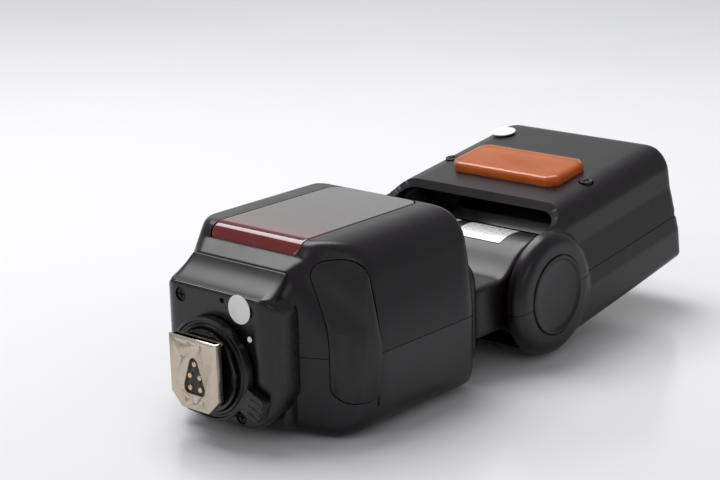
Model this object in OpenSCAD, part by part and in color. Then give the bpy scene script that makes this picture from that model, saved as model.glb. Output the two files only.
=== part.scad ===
// Speedlight flash lying on its back: +X runs from the shoe foot to the lens, +Z is the front face.
// X is first measured from the outer face of the shoe plate, then the whole is centred on its length.

/* [Body] */
// Length of the body from the ridge above the foot to the swivel end
body_len = 67.8; // [62:0.2:86]
// Width of the body across its side seam
body_w = 77; // [72:0.5:88]
// Depth of the body from the back face to the front panel
body_h = 56.6; // [54:0.2:64]
// Wall of the body shells
body_wall = 2.2; // [1.8:0.1:2.8]
// Height of the side seam above the back face
seam_z = 24.5; // [22:0.5:28]
// Height of the ridge above the foot block
ridge_z = 48.7; // [48:0.1:49.5]
// Half the width of the front panel
panel_half = 17.7; // [14:0.1:20]
// Thickness of the front panel
panel_t = 1.5; // [1:0.1:1.8]

/* [Foot] */
// Width of the shoe plate, set by ISO 518
plate_w = 18.6; // [18.4:0.05:18.6]
// Thickness of the shoe plate, set by ISO 518
plate_t = 2; // [1.8:0.05:2.1]
// Length of the shoe plate
plate_len = 21; // [18:0.5:22]
// Height of the middle of the foot above the back face
foot_z = 20.5; // [20:0.5:22]
// Distance from the plate's outer face to the foot block
foot_gap = 9; // [8.5:0.1:10]
// Depth of the foot block
block_t = 6; // [5.8:0.1:7]
// Height of the foot block
block_h = 39; // [36:0.5:42]
// Radius of the locking ring
ring_r = 15.2; // [14.5:0.1:15.6]
// Radius of the round boss that the locking ring turns on
boss_r = 12; // [11:0.1:12.5]

/* [Neck] */
// Distance from the body's end to the tilt axis
neck_len = 37.2; // [36.4:0.2:42]
// Width of the neck between the head's ears
neck_w = 62; // [56:0.5:62]
// Radius of the drum around the tilt axis
drum_r = 17; // [15:0.1:17]
// Thickness of the waist between the drum and the swivel plate
waist_t = 16; // [14:0.5:17]
// Thickness of the swivel plate
plate_thick = 5; // [4:0.5:6]
// Radius of the hollow swivel hub
hub_r = 9; // [7:0.5:10]
// Wall of the hollow swivel hub
hub_wall = 3; // [2:0.5:4]

/* [Head] */
// Distance from the tilt axis to the lens end
head_len = 73; // [68:0.5:90]
// Width of the head at its side seam
head_w = 75.2; // [74:0.5:84]
// Height of the roof above the tilt axis
head_top = 24.6; // [24:0.1:25]
// Depth of the floor below the tilt axis at the lens end
head_low = 15.6; // [15.4:0.1:18]
// Radius of the ears around the tilt axis
ear_r = 19.6; // [19.6:0.1:20.5]
// Width across the ears
ear_w = 77.2; // [76:0.2:86]
// Wall of the head shells
head_wall = 2; // [1.6:0.1:2.2]
// Radius of the round caps on the ears
cap_r = 12.6; // [10:0.2:13.6]
// Angle of the head above the body's line as it lies
tilt_rest = 7.8; // [0:0.2:8]
// Radius of the tilt shaft
shaft_r = 4; // [3:0.5:5]
// Length of the zoom travel
zoom_travel = 16; // [10:1:16]

/* [Batteries] */
// Diameter of an AA cell
cell_d = 14.5; // [14:0.1:14.5]
// Length of an AA cell
cell_len = 50.5; // [49:0.1:50.5]

/* [Fits] */
// Radial clearance of a turning or sliding fit
run_fit = 0.05; // [0.02:0.01:0.1]
// Gap around pieces that move without a fit
gap = 0.3; // [0.25:0.05:0.4]

/* [Hidden] */
$fn = 48;
arc_steps = 7;
far = 200;

// Lengthwise places, from the outer face of the shoe plate
ridge_x = foot_gap + block_t;
end_x = ridge_x + body_len;
hinge_x = end_x + neck_len;
rest_len = hinge_x + head_len * cos(tilt_rest) + head_low * sin(tilt_rest);
ear_rise = 0.8;
hinge_z = ear_r + ear_rise;

// Rounding of the body's outline
toe_z = 4;
toe_run = 11;
low_r = 9.5;
shoulder_r = 14;
shoulder_out = 5.5;
end_low_r = 4;
end_top_r = 4;
brow_run = 15.5;
brow_r = 4;
lip_run = 10;
lip_z = 51.7;
nose_run = 5;
cove_back = 4.2;
cove_z = 53.1;
cove_r = 10.2;
flare_run = 26;
flare_r = 20;
nose_half = 20.5;
nose_top_half = 18.5;
nose_spread = 0.845;
nose_lean = 0.482;
corner_r = 8;

// Focus lamp behind the front panel
lamp_x = ridge_x + 23;
lamp_r = 5;

// Keys, display and screws on the back face, with X from the swivel end
key_travel = 0.6;
key_recess = 0.4;
key_lip = 0.8;
pad_x = 47.4;
pad_step = 6.9;
row_x = 34.5;
row_step = 16;
aux_x = 53;
aux_y = 18;
oblong = [4, 9];
arrow = [4.4, 4.4];
ok_r = 3;
aux_r = 3.4;
lcd_size = [24, 44];
lcd_x = 18.9;
lcd_rim = 1.5;
lcd_t = 1.2;
dome_t = 0.8;
board_z = body_wall + 0.4 + key_lip + key_travel + 0.4 + dome_t;
board_t = 1.6;
screw_r = 1.2;
screw_head_r = 2.2;
screw_places = [[8, 25.2], [8, -25.2], [53.5, 25.6], [53.5, -25.6]];

// Battery bay, with X from the swivel end
bay_x = 25;
bay_z = 28.5;
cell_step = 15;
tray_wall = 1.2;
bay_half = cell_step + tray_wall + 0.3;
bay_y1 = 33;
bay_y0 = bay_y1 - cell_len - 5;
door_x0 = end_x - bay_x - 19;
door_x1 = end_x - bay_x + 18;
door_z0 = 13;
door_z1 = 44.5;
door_t = 1.8;
door_roll = 1.75;
roll_gap = 0.9;
door_pin_r = 0.8;
latch_len = 9;
latch_travel = 2.5;

// Socket bay on the flared side
cover_x0 = ridge_x + 9.4;
cover_x1 = ridge_x + 21.8;
cover_z0 = 11;
cover_z1 = 51;
cover_t = 1.5;
cover_r = 5;
cover_deep = 20;
socket_x = ridge_x + 15.5;
cover_pin_r = 0.4;
cover_pin_x = cover_x1 - 0.65;
cover_pin_y = -body_w / 2 + 1.55;
cover_pin_z = [9, 27];
cover_turn_r = 1.35;
pin_grip = 0.01;
socket_turn = 34;
sync_z = 38;
sync_deep = 2.9;
power_z = 21;

// Neck and bearing
plate_h = 37;
bearing_r = 13;
flange_r = 16;
flange_t = 3;
clip_t = 1.2;
clip_r = 11;

// Inside and around the head, in the head's own line
slot_half = neck_w / 2 + 0.45;
slot_lip = 12;
slot_low = 11.2;
slot_r = 5;
ear_wall = 2;
ear_boss_r = 7;
roof_r = 9.5;
roof_half = 25.5;
waist_y = 35.2;
waist_w = 10;
floor_r = 6.4;
widest_w = -5;
window_half = 30;
window_low = -11.5;
window_high = 16;
bezel_t = 7;
lens_t = 1.8;
tray_w = 17.2;
tray_t = 1.1;
wide_t = 1.4;
card_t = 0.8;
stack_gap = 0.25;
card_half = 26;
rod_r = 1.5;
rod_y = 29.6;
rod_w = -9.5;
rod_u0 = 21.5;
screw_y = 32.6;
screw_w = -3;
motor_r = 2.4;
motor_len = 9;
motor_u = 21.2;
mirror_len = 18;
mirror_u = head_len - bezel_t - 2 - zoom_travel - mirror_len;
mirror_half_y = 26.5;
mirror_back = 3.4;
mirror_front = 12.2;
mirror_t = 0.8;
tube_r = 1.9;
tube_u = 4.6;
tube_half = 25;
amber_u = [25, 45];
amber_half = 21.5;
amber_rise = 2.4;

// Points of an arc about centre c, from angle a0 to a1
function arc_pts(c, r, a0, a1) =
    [for (i = [0:arc_steps]) let (a = a0 + (a1 - a0) * i / arc_steps) c + r * [cos(a), sin(a)]];

// The same points on the other side of the middle plane, in reverse order
function flip(p) = [for (i = [len(p) - 1:-1:0]) [-p[i][0], p[i][1]]];
function flip_y(p) = [for (i = [len(p) - 1:-1:0]) [p[i][0], -p[i][1]]];

// Body seen from the side: X and Z
function body_side() = concat(
    [[ridge_x, toe_z], [ridge_x + toe_run, 0]],
    arc_pts([end_x - end_low_r, end_low_r], end_low_r, -90, 0),
    arc_pts([end_x - end_top_r, body_h - end_top_r], end_top_r, 0, 90),
    arc_pts([ridge_x + brow_run, body_h - brow_r], brow_r, 90, 150),
    [[ridge_x + lip_run, lip_z], [ridge_x + nose_run, ridge_z]],
    arc_pts([ridge_x - cove_back, cove_z], cove_r, -26, -65.7));

// Body seen from the foot: Y and Z, right half
function body_section_half() = concat(
    arc_pts([body_w / 2 - 1 - low_r, low_r], low_r, -90, 0),
    [[body_w / 2, seam_z]],
    arc_pts([body_w / 2 - shoulder_out - shoulder_r + 1, body_h - shoulder_r], shoulder_r, 12, 90));

// Body seen from the front: X and Y, upper half
function body_plan_half() = concat(
    [[ridge_x, nose_half], [ridge_x + nose_run, nose_half]],
    [for (p = arc_pts([ridge_x + flare_run, body_w / 2 - flare_r], flare_r, 155, 90)) p],
    arc_pts([end_x - corner_r, body_w / 2 - corner_r], corner_r, 90, 0));

// Shapes drawn in a plane and run through the body
module along_y(width) {
    rotate([90, 0, 0]) linear_extrude(width, center = true) children();
}
module along_x(x0, x1) {
    translate([x0, 0, 0]) rotate([90, 0, 90]) linear_extrude(x1 - x0) children();
}
module inset_by(t) {
    if (t == 0) children();
    else offset(delta = -t) children();
}

// Solid body form, smaller by t all round
module body_form(t = 0) {
    half = body_section_half();
    plan = body_plan_half();
    intersection() {
        along_y(far) inset_by(t) polygon(body_side());
        along_x(0, far) inset_by(t) polygon(concat(half, flip(half)));
        difference() {
            linear_extrude(far) inset_by(t) polygon(concat(flip_y(plan), plan));
            for (s = [-1, 1]) nose_facet(s, t);
        }
    }
}

// Room outside the slanted face beside the ridge; it leans in towards the foot and towards the top
module nose_facet(s, t) {
    spread_turn = atan(nose_spread);
    lean_turn = atan(nose_lean / sqrt(1 + nose_spread * nose_spread));
    translate([ridge_x + nose_run, s * nose_top_half, ridge_z]) rotate([0, 0, s * spread_turn])
        rotate([s * lean_turn, 0, 0]) translate([-far, s > 0 ? -t : -far + t, -far]) cube([2 * far, far, 2 * far]);
}

// Puts the object's middle on the origin
module in_frame() {
    translate([-rest_len / 2, 0, 0]) children();
}

// Head pieces are drawn straight, with the tilt axis at the origin
module in_head() {
    in_frame() translate([hinge_x, 0, hinge_z]) rotate([0, -tilt_rest, 0]) children();
}

// Rounded rectangle of the given size about the origin
module rounded(size, r) {
    hull() for (x = [-1, 1], y = [-1, 1])
        translate([x * (size[0] / 2 - r), y * (size[1] / 2 - r)]) circle(r = r, $fn = 24);
}

// Cylinder from a to b along X
module rod_x(x0, x1, y, z, r) {
    translate([x0, y, z]) rotate([0, 90, 0]) cylinder(r = r, h = x1 - x0);
}

// Cylinder centred on the middle plane along Y
module rod_y_axis(x, z, r, width) {
    translate([x, 0, z]) rotate([90, 0, 0]) cylinder(r = r, h = width, center = true);
}

// ---- Body shells

module front_pocket(grow) {
    translate([ridge_x + lip_run - 0.4 - grow, -panel_half - grow, lip_z - 4 - grow])
        cube([body_len - lip_run - 2 + 2 * grow, 2 * panel_half + 2 * grow, far]);
}

module cover_prism(grow) {
    hull() for (x = [cover_x0 + cover_r, cover_x1 - cover_r], z = [cover_z0 + cover_r, cover_z1 - cover_r])
        translate([x, -cover_deep, z]) rotate([90, 0, 0]) cylinder(r = cover_r + grow, h = far, $fn = 32);
}

module cover_pin_rod(r) {
    translate([cover_pin_x, cover_pin_y, cover_pin_z[0]]) cylinder(r = r, h = cover_pin_z[1] - cover_pin_z[0]);
}

module door_prism(grow) {
    translate([door_x0 - grow, 0, door_z0 - grow])
        cube([door_x1 - door_x0 + 2 * grow, far, door_z1 - door_z0 + 2 * grow]);
}

// Outer surface of the body at the door's rolled edge
door_axis_y = body_w / 2 - (body_w / 2 - 33.4) * (door_z1 - seam_z) / (body_h - shoulder_r + 3 - seam_z) - 1.6;

module door_roll_bar(r, grow) {
    rod_x(door_x0 - grow, door_x1 + grow, door_axis_y, door_z1, r);
}

module body_hollow() {
    difference() {
        body_form();
        body_form(body_wall);
        difference() {
            front_pocket(run_fit);
            body_form(panel_t);
        }
        cover_prism(gap);
        door_prism(gap);
        door_roll_bar(door_roll + roll_gap, gap);
        rod_x(door_x0 - 3, door_x1 + 3, door_axis_y, door_z1, door_pin_r);
        rod_x(end_x - far / 2, end_x + 1, 0, hinge_z, bearing_r);
        cover_pin_rod(cover_pin_r + pin_grip);
        translate([cover_pin_x, cover_pin_y, cover_z0 + 1]) cylinder(r = cover_turn_r, h = cover_z1 - cover_z0 - 1);
    }
}

module body_front_shell() {
    color("#1b1b1d") in_frame() difference() {
        body_hollow();
        translate([-far, -far, seam_z - far]) cube([2 * far, 2 * far, far]);
        translate([lamp_x, 0, body_h - 8]) cylinder(r = lamp_r + 0.2, h = 20);
    }
}

module body_rear_shell() {
    color("#1b1b1d") in_frame() difference() {
        body_hollow();
        translate([-far, -far, seam_z]) cube([2 * far, 2 * far, far]);
        back_openings();
    }
}

module on_back(p) {
    translate([end_x - p[0], p[1], 0]) children();
}

key_places = [
    [row_x, -row_step], [row_x, 0], [row_x, row_step],
    [pad_x - pad_step, 0], [pad_x + pad_step, 0], [pad_x, -pad_step], [pad_x, pad_step]];

module back_openings() {
    for (i = [0:2]) on_back(key_places[i]) key_slug(oblong + [gap, gap], -1, 3);
    for (i = [3:6]) on_back(key_places[i]) key_slug(arrow + [gap, gap], -1, 3);
    on_back([pad_x, 0]) translate([0, 0, -1]) cylinder(r = ok_r + gap / 2, h = 4);
    for (s = [-1, 1]) on_back([aux_x, s * aux_y]) translate([0, 0, -1]) cylinder(r = aux_r + gap / 2, h = 4);
    on_back([lcd_x, 0]) block(lcd_size - [2 * lcd_rim, 2 * lcd_rim], -1, 3);
    on_back([lcd_x, 0]) block(lcd_size + [run_fit, run_fit], -1, lcd_t + 0.3);
    for (p = screw_places) on_back(p) {
        translate([0, 0, -1]) cylinder(r = screw_r + run_fit, h = 4);
        translate([0, 0, -1]) cylinder(r = screw_head_r + run_fit, h = 2.2);
    }
}

// Box of the given plan size between two heights
module block(size, z0, z1) {
    translate([-size[0] / 2, -size[1] / 2, z0]) cube([size[0], size[1], z1 - z0]);
}

module key_slug(size, z0, z1) {
    translate([0, 0, z0]) linear_extrude(z1 - z0) rounded(size, 1.2);
}

module front_panel() {
    color("#4a1216") in_frame() difference() {
        intersection() {
            body_form();
            front_pocket(0);
        }
        body_form(panel_t);
    }
}

module af_lamp() {
    color("#8c1a1a") in_frame() translate([lamp_x, 0, body_h - body_wall - 0.05]) {
        cylinder(r = lamp_r, h = body_wall - panel_t - 0.2);
        translate([0, 0, -1.8]) cylinder(r = lamp_r + 1.2, h = 1.8);
        translate([0, 0, -6]) cylinder(r = lamp_r - 1, h = 4.2);
    }
}

// ---- Foot

block_half = nose_half + 1;

function block_outline() = concat(
    arc_pts([block_half - 11, 4 + 11], 11, -90, 0),
    arc_pts([block_half - 5, block_h + 4 - 5], 5, 0, 90));

module foot_block() {
    half = block_outline();
    roll = min(block_t, 6);
    nose = concat([[ridge_x, block_half]], arc_pts([foot_gap + roll, block_half - roll], roll, 90, 180));
    color("#1d1d1f") in_frame() difference() {
        intersection() {
            along_x(0, ridge_x) polygon(concat(half, flip(half)));
            linear_extrude(far) polygon(concat(nose, flip_y(nose)));
        }
        foot_screw_holes(run_fit);
    }
}

foot_screw_places = [[13.3, 39.3], [-13.3, 39.3], [9, 5.8 + 1.4], [-9, 5.8 + 1.4]];

module foot_screw_holes(grow) {
    for (p = foot_screw_places) {
        rod_x(foot_gap - 1, ridge_x - 2, p[0], p[1], 1 + grow);
        rod_x(foot_gap - 1, foot_gap + 1.4, p[0], p[1], 1.9 + grow);
    }
}

module foot_screws() {
    color("#2b2b2e") in_frame() for (p = foot_screw_places) difference() {
        union() {
            rod_x(foot_gap + 0.4, ridge_x - 2.4, p[0], p[1], 1);
            rod_x(foot_gap + 0.3, foot_gap + 1.4, p[0], p[1], 1.9);
        }
        translate([foot_gap, p[0], p[1]]) for (a = [0, 90])
            rotate([a, 0, 0]) translate([0, -1.3, -0.25]) cube([0.9, 2.6, 0.5]);
    }
}

pin_rows = [[3, 0], [-0.6, 1.9], [-0.6, -1.9], [-4.2, 2], [-4.2, -2]];
contact_r = 0.8;
pin_r = 1;
lock_pin_z = foot_z - plate_len / 2 + 3;

module window_outline(grow) {
    hull() {
        translate([0, 3.2]) circle(r = 1.7 + grow, $fn = 32);
        for (y = [-1, 1]) translate([y * 2.2, -4]) circle(r = 2 + grow, $fn = 32);
    }
}

module shoe_plate() {
    cut = 4.1;
    half = [[plate_w / 2 - cut, -plate_len / 2], [plate_w / 2, -plate_len / 2 + cut],
        [plate_w / 2, plate_len / 2]];
    color("#b3aa9c") in_frame() translate([0, 0, foot_z]) difference() {
        along_x(0, plate_t) polygon(concat(half, flip(half)));
        along_x(-1, plate_t + 1) window_outline(0);
        rod_x(-1, plate_t + 1, 0, lock_pin_z - foot_z, pin_r + run_fit);
    }
}

module shoe_block() {
    color("#161617") in_frame() translate([0, 0, foot_z]) difference() {
        union() {
            translate([plate_t, -6.2, -plate_len / 2 + 1.5]) cube([3.4, 12.4, plate_len - 2.5]);
            rod_x(plate_t + 2.4, foot_gap, 0, 0, boss_r);
            along_x(0.6, plate_t) window_outline(-run_fit);
        }
        for (p = pin_rows) {
            rod_x(0, foot_gap - 1.6, p[1], p[0], contact_r + run_fit);
            rod_x(3.2, foot_gap - 1.6, p[1], p[0], 1.5);
        }
        rod_x(0, foot_gap - 1, 0, lock_pin_z - foot_z, pin_r + run_fit);
    }
}

module contact_pins() {
    color("#c9a35a") in_frame() translate([0, 0, foot_z]) for (p = pin_rows) {
        rod_x(0.05, 4, p[1], p[0], contact_r);
        rod_x(3.3, 4.2, p[1], p[0], 1.35);
    }
}

ring_x0 = foot_gap - 3.6;
ring_x1 = foot_gap - gap;
lever_turn = 205;

module lock_ring() {
    color("#151516") in_frame() translate([0, 0, foot_z]) difference() {
        union() {
            rod_x(ring_x0, ring_x1, 0, 0, ring_r);
            rotate([lever_turn, 0, 0]) translate([ring_x0, ring_r - 3, -4]) cube([ring_x1 - ring_x0, 10, 8]);
        }
        rod_x(ring_x0 - 1, ring_x1 + 1, 0, 0, boss_r + run_fit);
        rotate([lever_turn, 0, 0]) for (i = [-1:1])
            translate([ring_x0 - 1, ring_r + 6.4, i * 2.2 - 0.4]) cube([ring_x1, 2, 0.8]);
    }
}

module lock_pin() {
    color("#c8c8c4") in_frame() rod_x(0.1, foot_gap - 1.3, 0, lock_pin_z, pin_r);
}

module shell_screws() {
    color("#2b2b2e") in_frame() for (p = screw_places) on_back(p) difference() {
        union() {
            translate([0, 0, 0.5]) cylinder(r = screw_head_r, h = 0.7);
            translate([0, 0, 0.6]) cylinder(r = screw_r, h = 9);
        }
        for (a = [0, 90]) rotate([0, 0, a]) translate([-1.4, -0.3, 0]) cube([2.8, 0.6, 0.9]);
    }
}

// ---- Bearing, boards and power parts

module swivel_bearing() {
    color("#a8a8aa") in_frame() difference() {
        union() {
            rod_x(end_x - body_wall - flange_t, end_x - body_wall, 0, hinge_z, flange_r);
            rod_x(end_x - body_wall, end_x + 0.6, 0, hinge_z, bearing_r - run_fit);
        }
        rod_x(end_x - far / 2, end_x + 2, 0, hinge_z, hub_r + run_fit);
    }
}

module main_board() {
    color("#1f5a36") in_frame() {
        translate([end_x - 44, bay_y0 - 5, 10]) cube([36, board_t, 38]);
        for (i = [0:2]) translate([end_x - 40 + 11 * i, bay_y0 - 8.2, 26]) cube([7, 3.2, 9]);
    }
}

module key_board() {
    color("#1f5a36") in_frame() {
        on_back([45.3, 0]) block([27, 48], board_z, board_z + board_t);
        for (p = concat(key_places, [[pad_x, 0], [aux_x, aux_y], [aux_x, -aux_y]]))
            on_back(p) translate([0, 0, board_z - dome_t]) cylinder(r = 1.6, h = dome_t);
    }
}

cap_y0 = bay_y0 + 1.5;
cap_len = bay_y1 - 10 - cap_y0;

module main_capacitor() {
    color("#20242c") in_frame() translate([ridge_x + 18, cap_y0 + cap_len / 2, 34]) {
        rotate([90, 0, 0]) cylinder(r = 8, h = cap_len, center = true);
        for (s = [-1, 1]) translate([4 * s, cap_len / 2, 0]) rotate([-90, 0, 0]) cylinder(r = 0.6, h = 4);
    }
}

module transformer() {
    color("#3a3226") in_frame() {
        translate([ridge_x + 7.5, -16, 12]) cube([14, 13, 11]);
        rod_x(ridge_x + 3.5, ridge_x + 7.5, -9.5, 17.5, 4);
        rod_x(ridge_x + 21.5, ridge_x + 25.5, -9.5, 17.5, 4);
    }
}

module lcd_window() {
    color("#3c423d") in_frame() on_back([lcd_x, 0]) block(lcd_size, 0.3, 0.3 + lcd_t);
}

module lcd_module() {
    color("#6a7566") in_frame() on_back([lcd_x, 0]) {
        block(lcd_size + [1, 1], body_wall + 0.1, body_wall + 2.3);
        block(lcd_size - [4, 4], body_wall + 2.3, body_wall + 4.3);
    }
}

cell_places = [for (i = [-1, 1], k = [-1, 1]) [end_x - bay_x + i * cell_step / 2, bay_z + k * cell_step / 2]];

module battery_tray() {
    size = 2 * bay_half;
    color("#242426") in_frame() difference() {
        translate([end_x - bay_x - bay_half, bay_y0, bay_z - bay_half]) cube([size, bay_y1 - bay_y0, size]);
        translate([end_x - bay_x - bay_half + tray_wall, bay_y0 + tray_wall, bay_z - bay_half + tray_wall])
            cube([size - 2 * tray_wall, far, size - 2 * tray_wall]);
        translate([0, bay_y1 - 6, bay_z + bay_half - tray_wall - 4]) cube([far, far, far]);
    }
}

cell_y0 = bay_y0 + tray_wall + 1.6;

module battery_cells() {
    color("#d7d9dc") in_frame() for (p = cell_places) translate([p[0], cell_y0, p[1]]) rotate([-90, 0, 0]) {
        cylinder(d = cell_d, h = cell_len - 1);
        cylinder(d = 5.5, h = cell_len);
    }
}

module battery_contacts() {
    color("#d0c090") in_frame() for (p = cell_places)
        translate([p[0], bay_y0 + tray_wall, p[1]]) rotate([-90, 0, 0]) {
            cylinder(d = 10, h = 0.5);
            cylinder(d1 = 8, d2 = 5, h = 1.5);
        }
}

// ---- Battery door with its pin and latch

module battery_door() {
    color("#1b1b1d") in_frame() difference() {
        union() {
            intersection() {
                difference() {
                    body_form();
                    body_form(door_t);
                }
                door_prism(0);
            }
            door_roll_bar(door_roll, 0);
        }
        door_roll_hole();
        latch_slot(gap / 2);
    }
}

module door_roll_hole() {
    rod_x(door_x0 - 1, door_x1 + 1, door_axis_y, door_z1, door_pin_r + run_fit);
}

// Pins of the battery door and of the socket cover
module hinge_pins() {
    color("#b8b8ba") in_frame() {
        rod_x(door_x0 - 2.5, door_x1 + 2.5, door_axis_y, door_z1, door_pin_r);
        cover_pin_rod(cover_pin_r);
    }
}

latch_x = (door_x0 + door_x1) / 2;
latch_z = door_z0 + 5;

module latch_slot(grow) {
    translate([latch_x - latch_len / 2 - grow, 0, latch_z - 2 - grow])
        cube([latch_len + latch_travel + 2 * grow, far, 4 + 2 * grow]);
}

module door_latch() {
    color("#2a2a2c") in_frame() {
        intersection() {
            difference() {
                body_form(0.3);
                body_form(door_t + 0.1);
            }
            translate([latch_x - latch_len / 2, 0, latch_z - 2]) cube([latch_len, far, 4]);
        }
        intersection() {
            difference() {
                body_form(door_t + 0.1);
                body_form(door_t + 0.9);
            }
            translate([latch_x - latch_len / 2 - 1, 0, latch_z - 3]) cube([latch_len + 2, far, 6]);
        }
    }
}

module door_contact() {
    color("#d0c090") in_frame() intersection() {
        for (i = [-1, 1]) translate([end_x - bay_x + i * cell_step / 2 - 4, bay_y1 - 2, bay_z - 6])
            cube([8, far, 16]);
        body_form(door_t);
    }
}

// ---- Sockets and their cover

module socket_panel() {
    color("#222224") in_frame() difference() {
        intersection() {
            difference() {
                body_form(body_wall);
                body_form(body_wall + 2);
            }
            cover_prism(1.6);
        }
        socket_at(sync_z, sync_deep) cylinder(r = 3.2 + run_fit, h = 30, center = true);
        socket_at(power_z, 0) cylinder(r = 4.4 + run_fit, h = 30, center = true);
    }
}

// Stands a socket on the flared side, pointing outwards and let in by the given depth
module socket_at(z, deep) {
    translate([socket_x, -body_w / 2 + 6.9, z]) rotate([0, 0, -socket_turn]) rotate([90, 0, 0])
        translate([0, 0, -deep]) children();
}

module sync_socket() {
    color("#b9b39c") in_frame() socket_at(sync_z, sync_deep) translate([0, 0, -6]) difference() {
        cylinder(r = 3.2, h = 6.2);
        translate([0, 0, 2]) cylinder(r = 2, h = 10);
    }
}

module power_socket() {
    color("#2c2c2e") in_frame() socket_at(power_z, 0) translate([0, 0, -6]) difference() {
        cylinder(r = 4.4, h = 6);
        for (a = [90:120:330]) rotate([0, 0, a]) translate([2.3, 0, 2]) cylinder(r = 0.8, h = 10);
    }
}

module socket_cover() {
    color("#1a1a1b") in_frame() difference() {
        intersection() {
            difference() {
                body_form();
                body_form(cover_t);
            }
            cover_prism(0);
        }
        cover_pin_rod(cover_pin_r + run_fit);
    }
}

// ---- Keys

module key(p, size) {
    color("#2e2e31") in_frame() on_back(p) {
        key_slug(size, key_recess, body_wall + 0.5);
        key_slug(size + [2 * key_lip, 2 * key_lip], body_wall + 0.4, body_wall + 1.2);
    }
}

module round_key(p, r, tint) {
    color(tint) in_frame() on_back(p) {
        translate([0, 0, key_recess]) cylinder(r = r, h = body_wall + 0.5 - key_recess);
        translate([0, 0, body_wall + 0.4]) cylinder(r = r + key_lip, h = 0.8);
    }
}

module key_mode() key(key_places[0], oblong);
module key_light() key(key_places[1], oblong);
module key_zoom() key(key_places[2], oblong);
module key_up() key(key_places[3], arrow);
module key_down() key(key_places[4], arrow);
module key_left() key(key_places[5], arrow);
module key_right() key(key_places[6], arrow);
module key_ok() round_key([pad_x, 0], ok_r, "#2e2e31");
module key_power() round_key([aux_x, -aux_y], aux_r, "#37373a");
module key_pilot() round_key([aux_x, aux_y], aux_r, "#7a3026");

// ---- Neck

neck_x0 = end_x + 1.4;

module neck_frame() {
    color("#19191b") in_frame() difference() {
        union() {
            along_x(neck_x0, neck_x0 + plate_thick) translate([0, hinge_z]) rounded([neck_w, plate_h], 9);
            translate([neck_x0 + 1, -neck_w / 2, hinge_z - waist_t / 2]) cube([hinge_x - neck_x0, neck_w, waist_t]);
            rod_y_axis(hinge_x, hinge_z, drum_r, neck_w);
            rod_x(end_x - body_wall - flange_t - 3, neck_x0 + 1, 0, hinge_z, hub_r);
        }
        rod_y_axis(hinge_x, hinge_z, shaft_r + run_fit, neck_w + 2);
        rod_x(end_x - far / 2, hinge_x - 9, 0, hinge_z, hub_r - hub_wall);
        clip_groove();
    }
}

clip_x = end_x - body_wall - flange_t - 1.8;

module clip_groove() {
    difference() {
        rod_x(clip_x, clip_x + clip_t + 0.1, 0, hinge_z, hub_r + 1);
        rod_x(clip_x - 1, clip_x + 3, 0, hinge_z, hub_r - 1);
    }
}

module swivel_clip() {
    color("#c2c2c4") in_frame() difference() {
        rod_x(clip_x + 0.05, clip_x + clip_t, 0, hinge_z, clip_r);
        rod_x(clip_x - 1, clip_x + 3, 0, hinge_z, hub_r - 0.98);
        translate([clip_x - 1, -2, hinge_z]) cube([4, 4, far]);
    }
}

module neck_label() {
    label_t = 0.25;
    color("#c9c9cb") in_frame() translate([hinge_x, 0, hinge_z]) intersection() {
        difference() {
            rod_y_axis(0, 0, drum_r + label_t, 42);
            rod_y_axis(0, 0, drum_r, 44);
        }
        translate([-6.5, -far, 0]) cube([9, 2 * far, far]);
    }
}

// ---- Head

function head_side() = [[0, ear_r], [14, head_top], [head_len - 1, head_top], [head_len, head_top - 1],
    [head_len, -head_low + 1], [head_len - 1, -head_low], [0, -ear_r]];

function head_section_half() = concat(
    arc_pts([head_w / 2 - floor_r, -ear_r + floor_r], floor_r, -90, 0),
    [[head_w / 2, widest_w], [waist_y, waist_w]],
    arc_pts([roof_half, head_top - roof_r], roof_r, 10, 90));

module head_form(t) {
    half = head_section_half();
    intersection() {
        along_y(far) inset_by(t) union() {
            circle(r = ear_r);
            polygon(head_side());
        }
        along_x(-far / 2, far) inset_by(t) polygon(concat(half, flip(half)));
    }
    rod_y_axis(0, 0, ear_r - t, ear_w - 2 * t);
}

module head_cavity() {
    half = head_section_half();
    difference() {
        union() {
            head_form(head_wall);
            along_x(head_len - 4, head_len + 1) intersection() {
                inset_by(head_wall) polygon(concat(half, flip(half)));
                translate([-far / 2, -head_low + head_wall]) square([far, head_low + head_top - 2 * head_wall]);
            }
        }
        for (s = [-1, 1]) translate([0, s * (slot_half + ear_wall / 2 + 0.05), 0]) {
            rod_y_axis(0, 0, ear_r + 1, ear_wall);
            translate([0, s * (ear_w / 2 - slot_half) / 2, 0])
                rod_y_axis(0, 0, ear_boss_r, ear_w / 2 - slot_half);
        }
    }
}

// Way through the roof for the neck
module neck_slot() {
    translate([0, 0, -slot_low]) linear_extrude(far) translate([slot_lip - 40, 0])
        rounded([80, 2 * slot_half], slot_r);
}

module head_shell_form() {
    difference() {
        head_form(0);
        head_cavity();
        neck_slot();
        rod_y_axis(0, 0, shaft_r + run_fit, 2 * far);
        for (s = [-1, 1]) translate([0, s * (ear_w / 2), 0]) rod_y_axis(0, 0, cap_r + run_fit, 2.4);
        for (p = roof_screws) {
            translate([p[0], p[1], 0]) cylinder(r = screw_r + run_fit, h = far);
            translate([p[0], p[1], head_top - 1.2]) cylinder(r = screw_head_r + run_fit, h = far);
        }
    }
}

roof_screws = [[34.5, 27.5], [34.5, -27.5]];
floor_screws = [[26, 28.8], [26, -28.8], [60, 28.8], [60, -28.8]];
floor_drop = (ear_r - head_low) / head_len;

module head_top_shell() {
    color("#1b1b1d") in_head() difference() {
        head_shell_form();
        translate([-far, -far, -far]) cube([2 * far, 2 * far, far]);
        translate([amber_u[0] + 1.5, -amber_half + 1.5, 10])
            cube([amber_u[1] - amber_u[0] - 3, 2 * amber_half - 3, 30]);
    }
}

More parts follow.
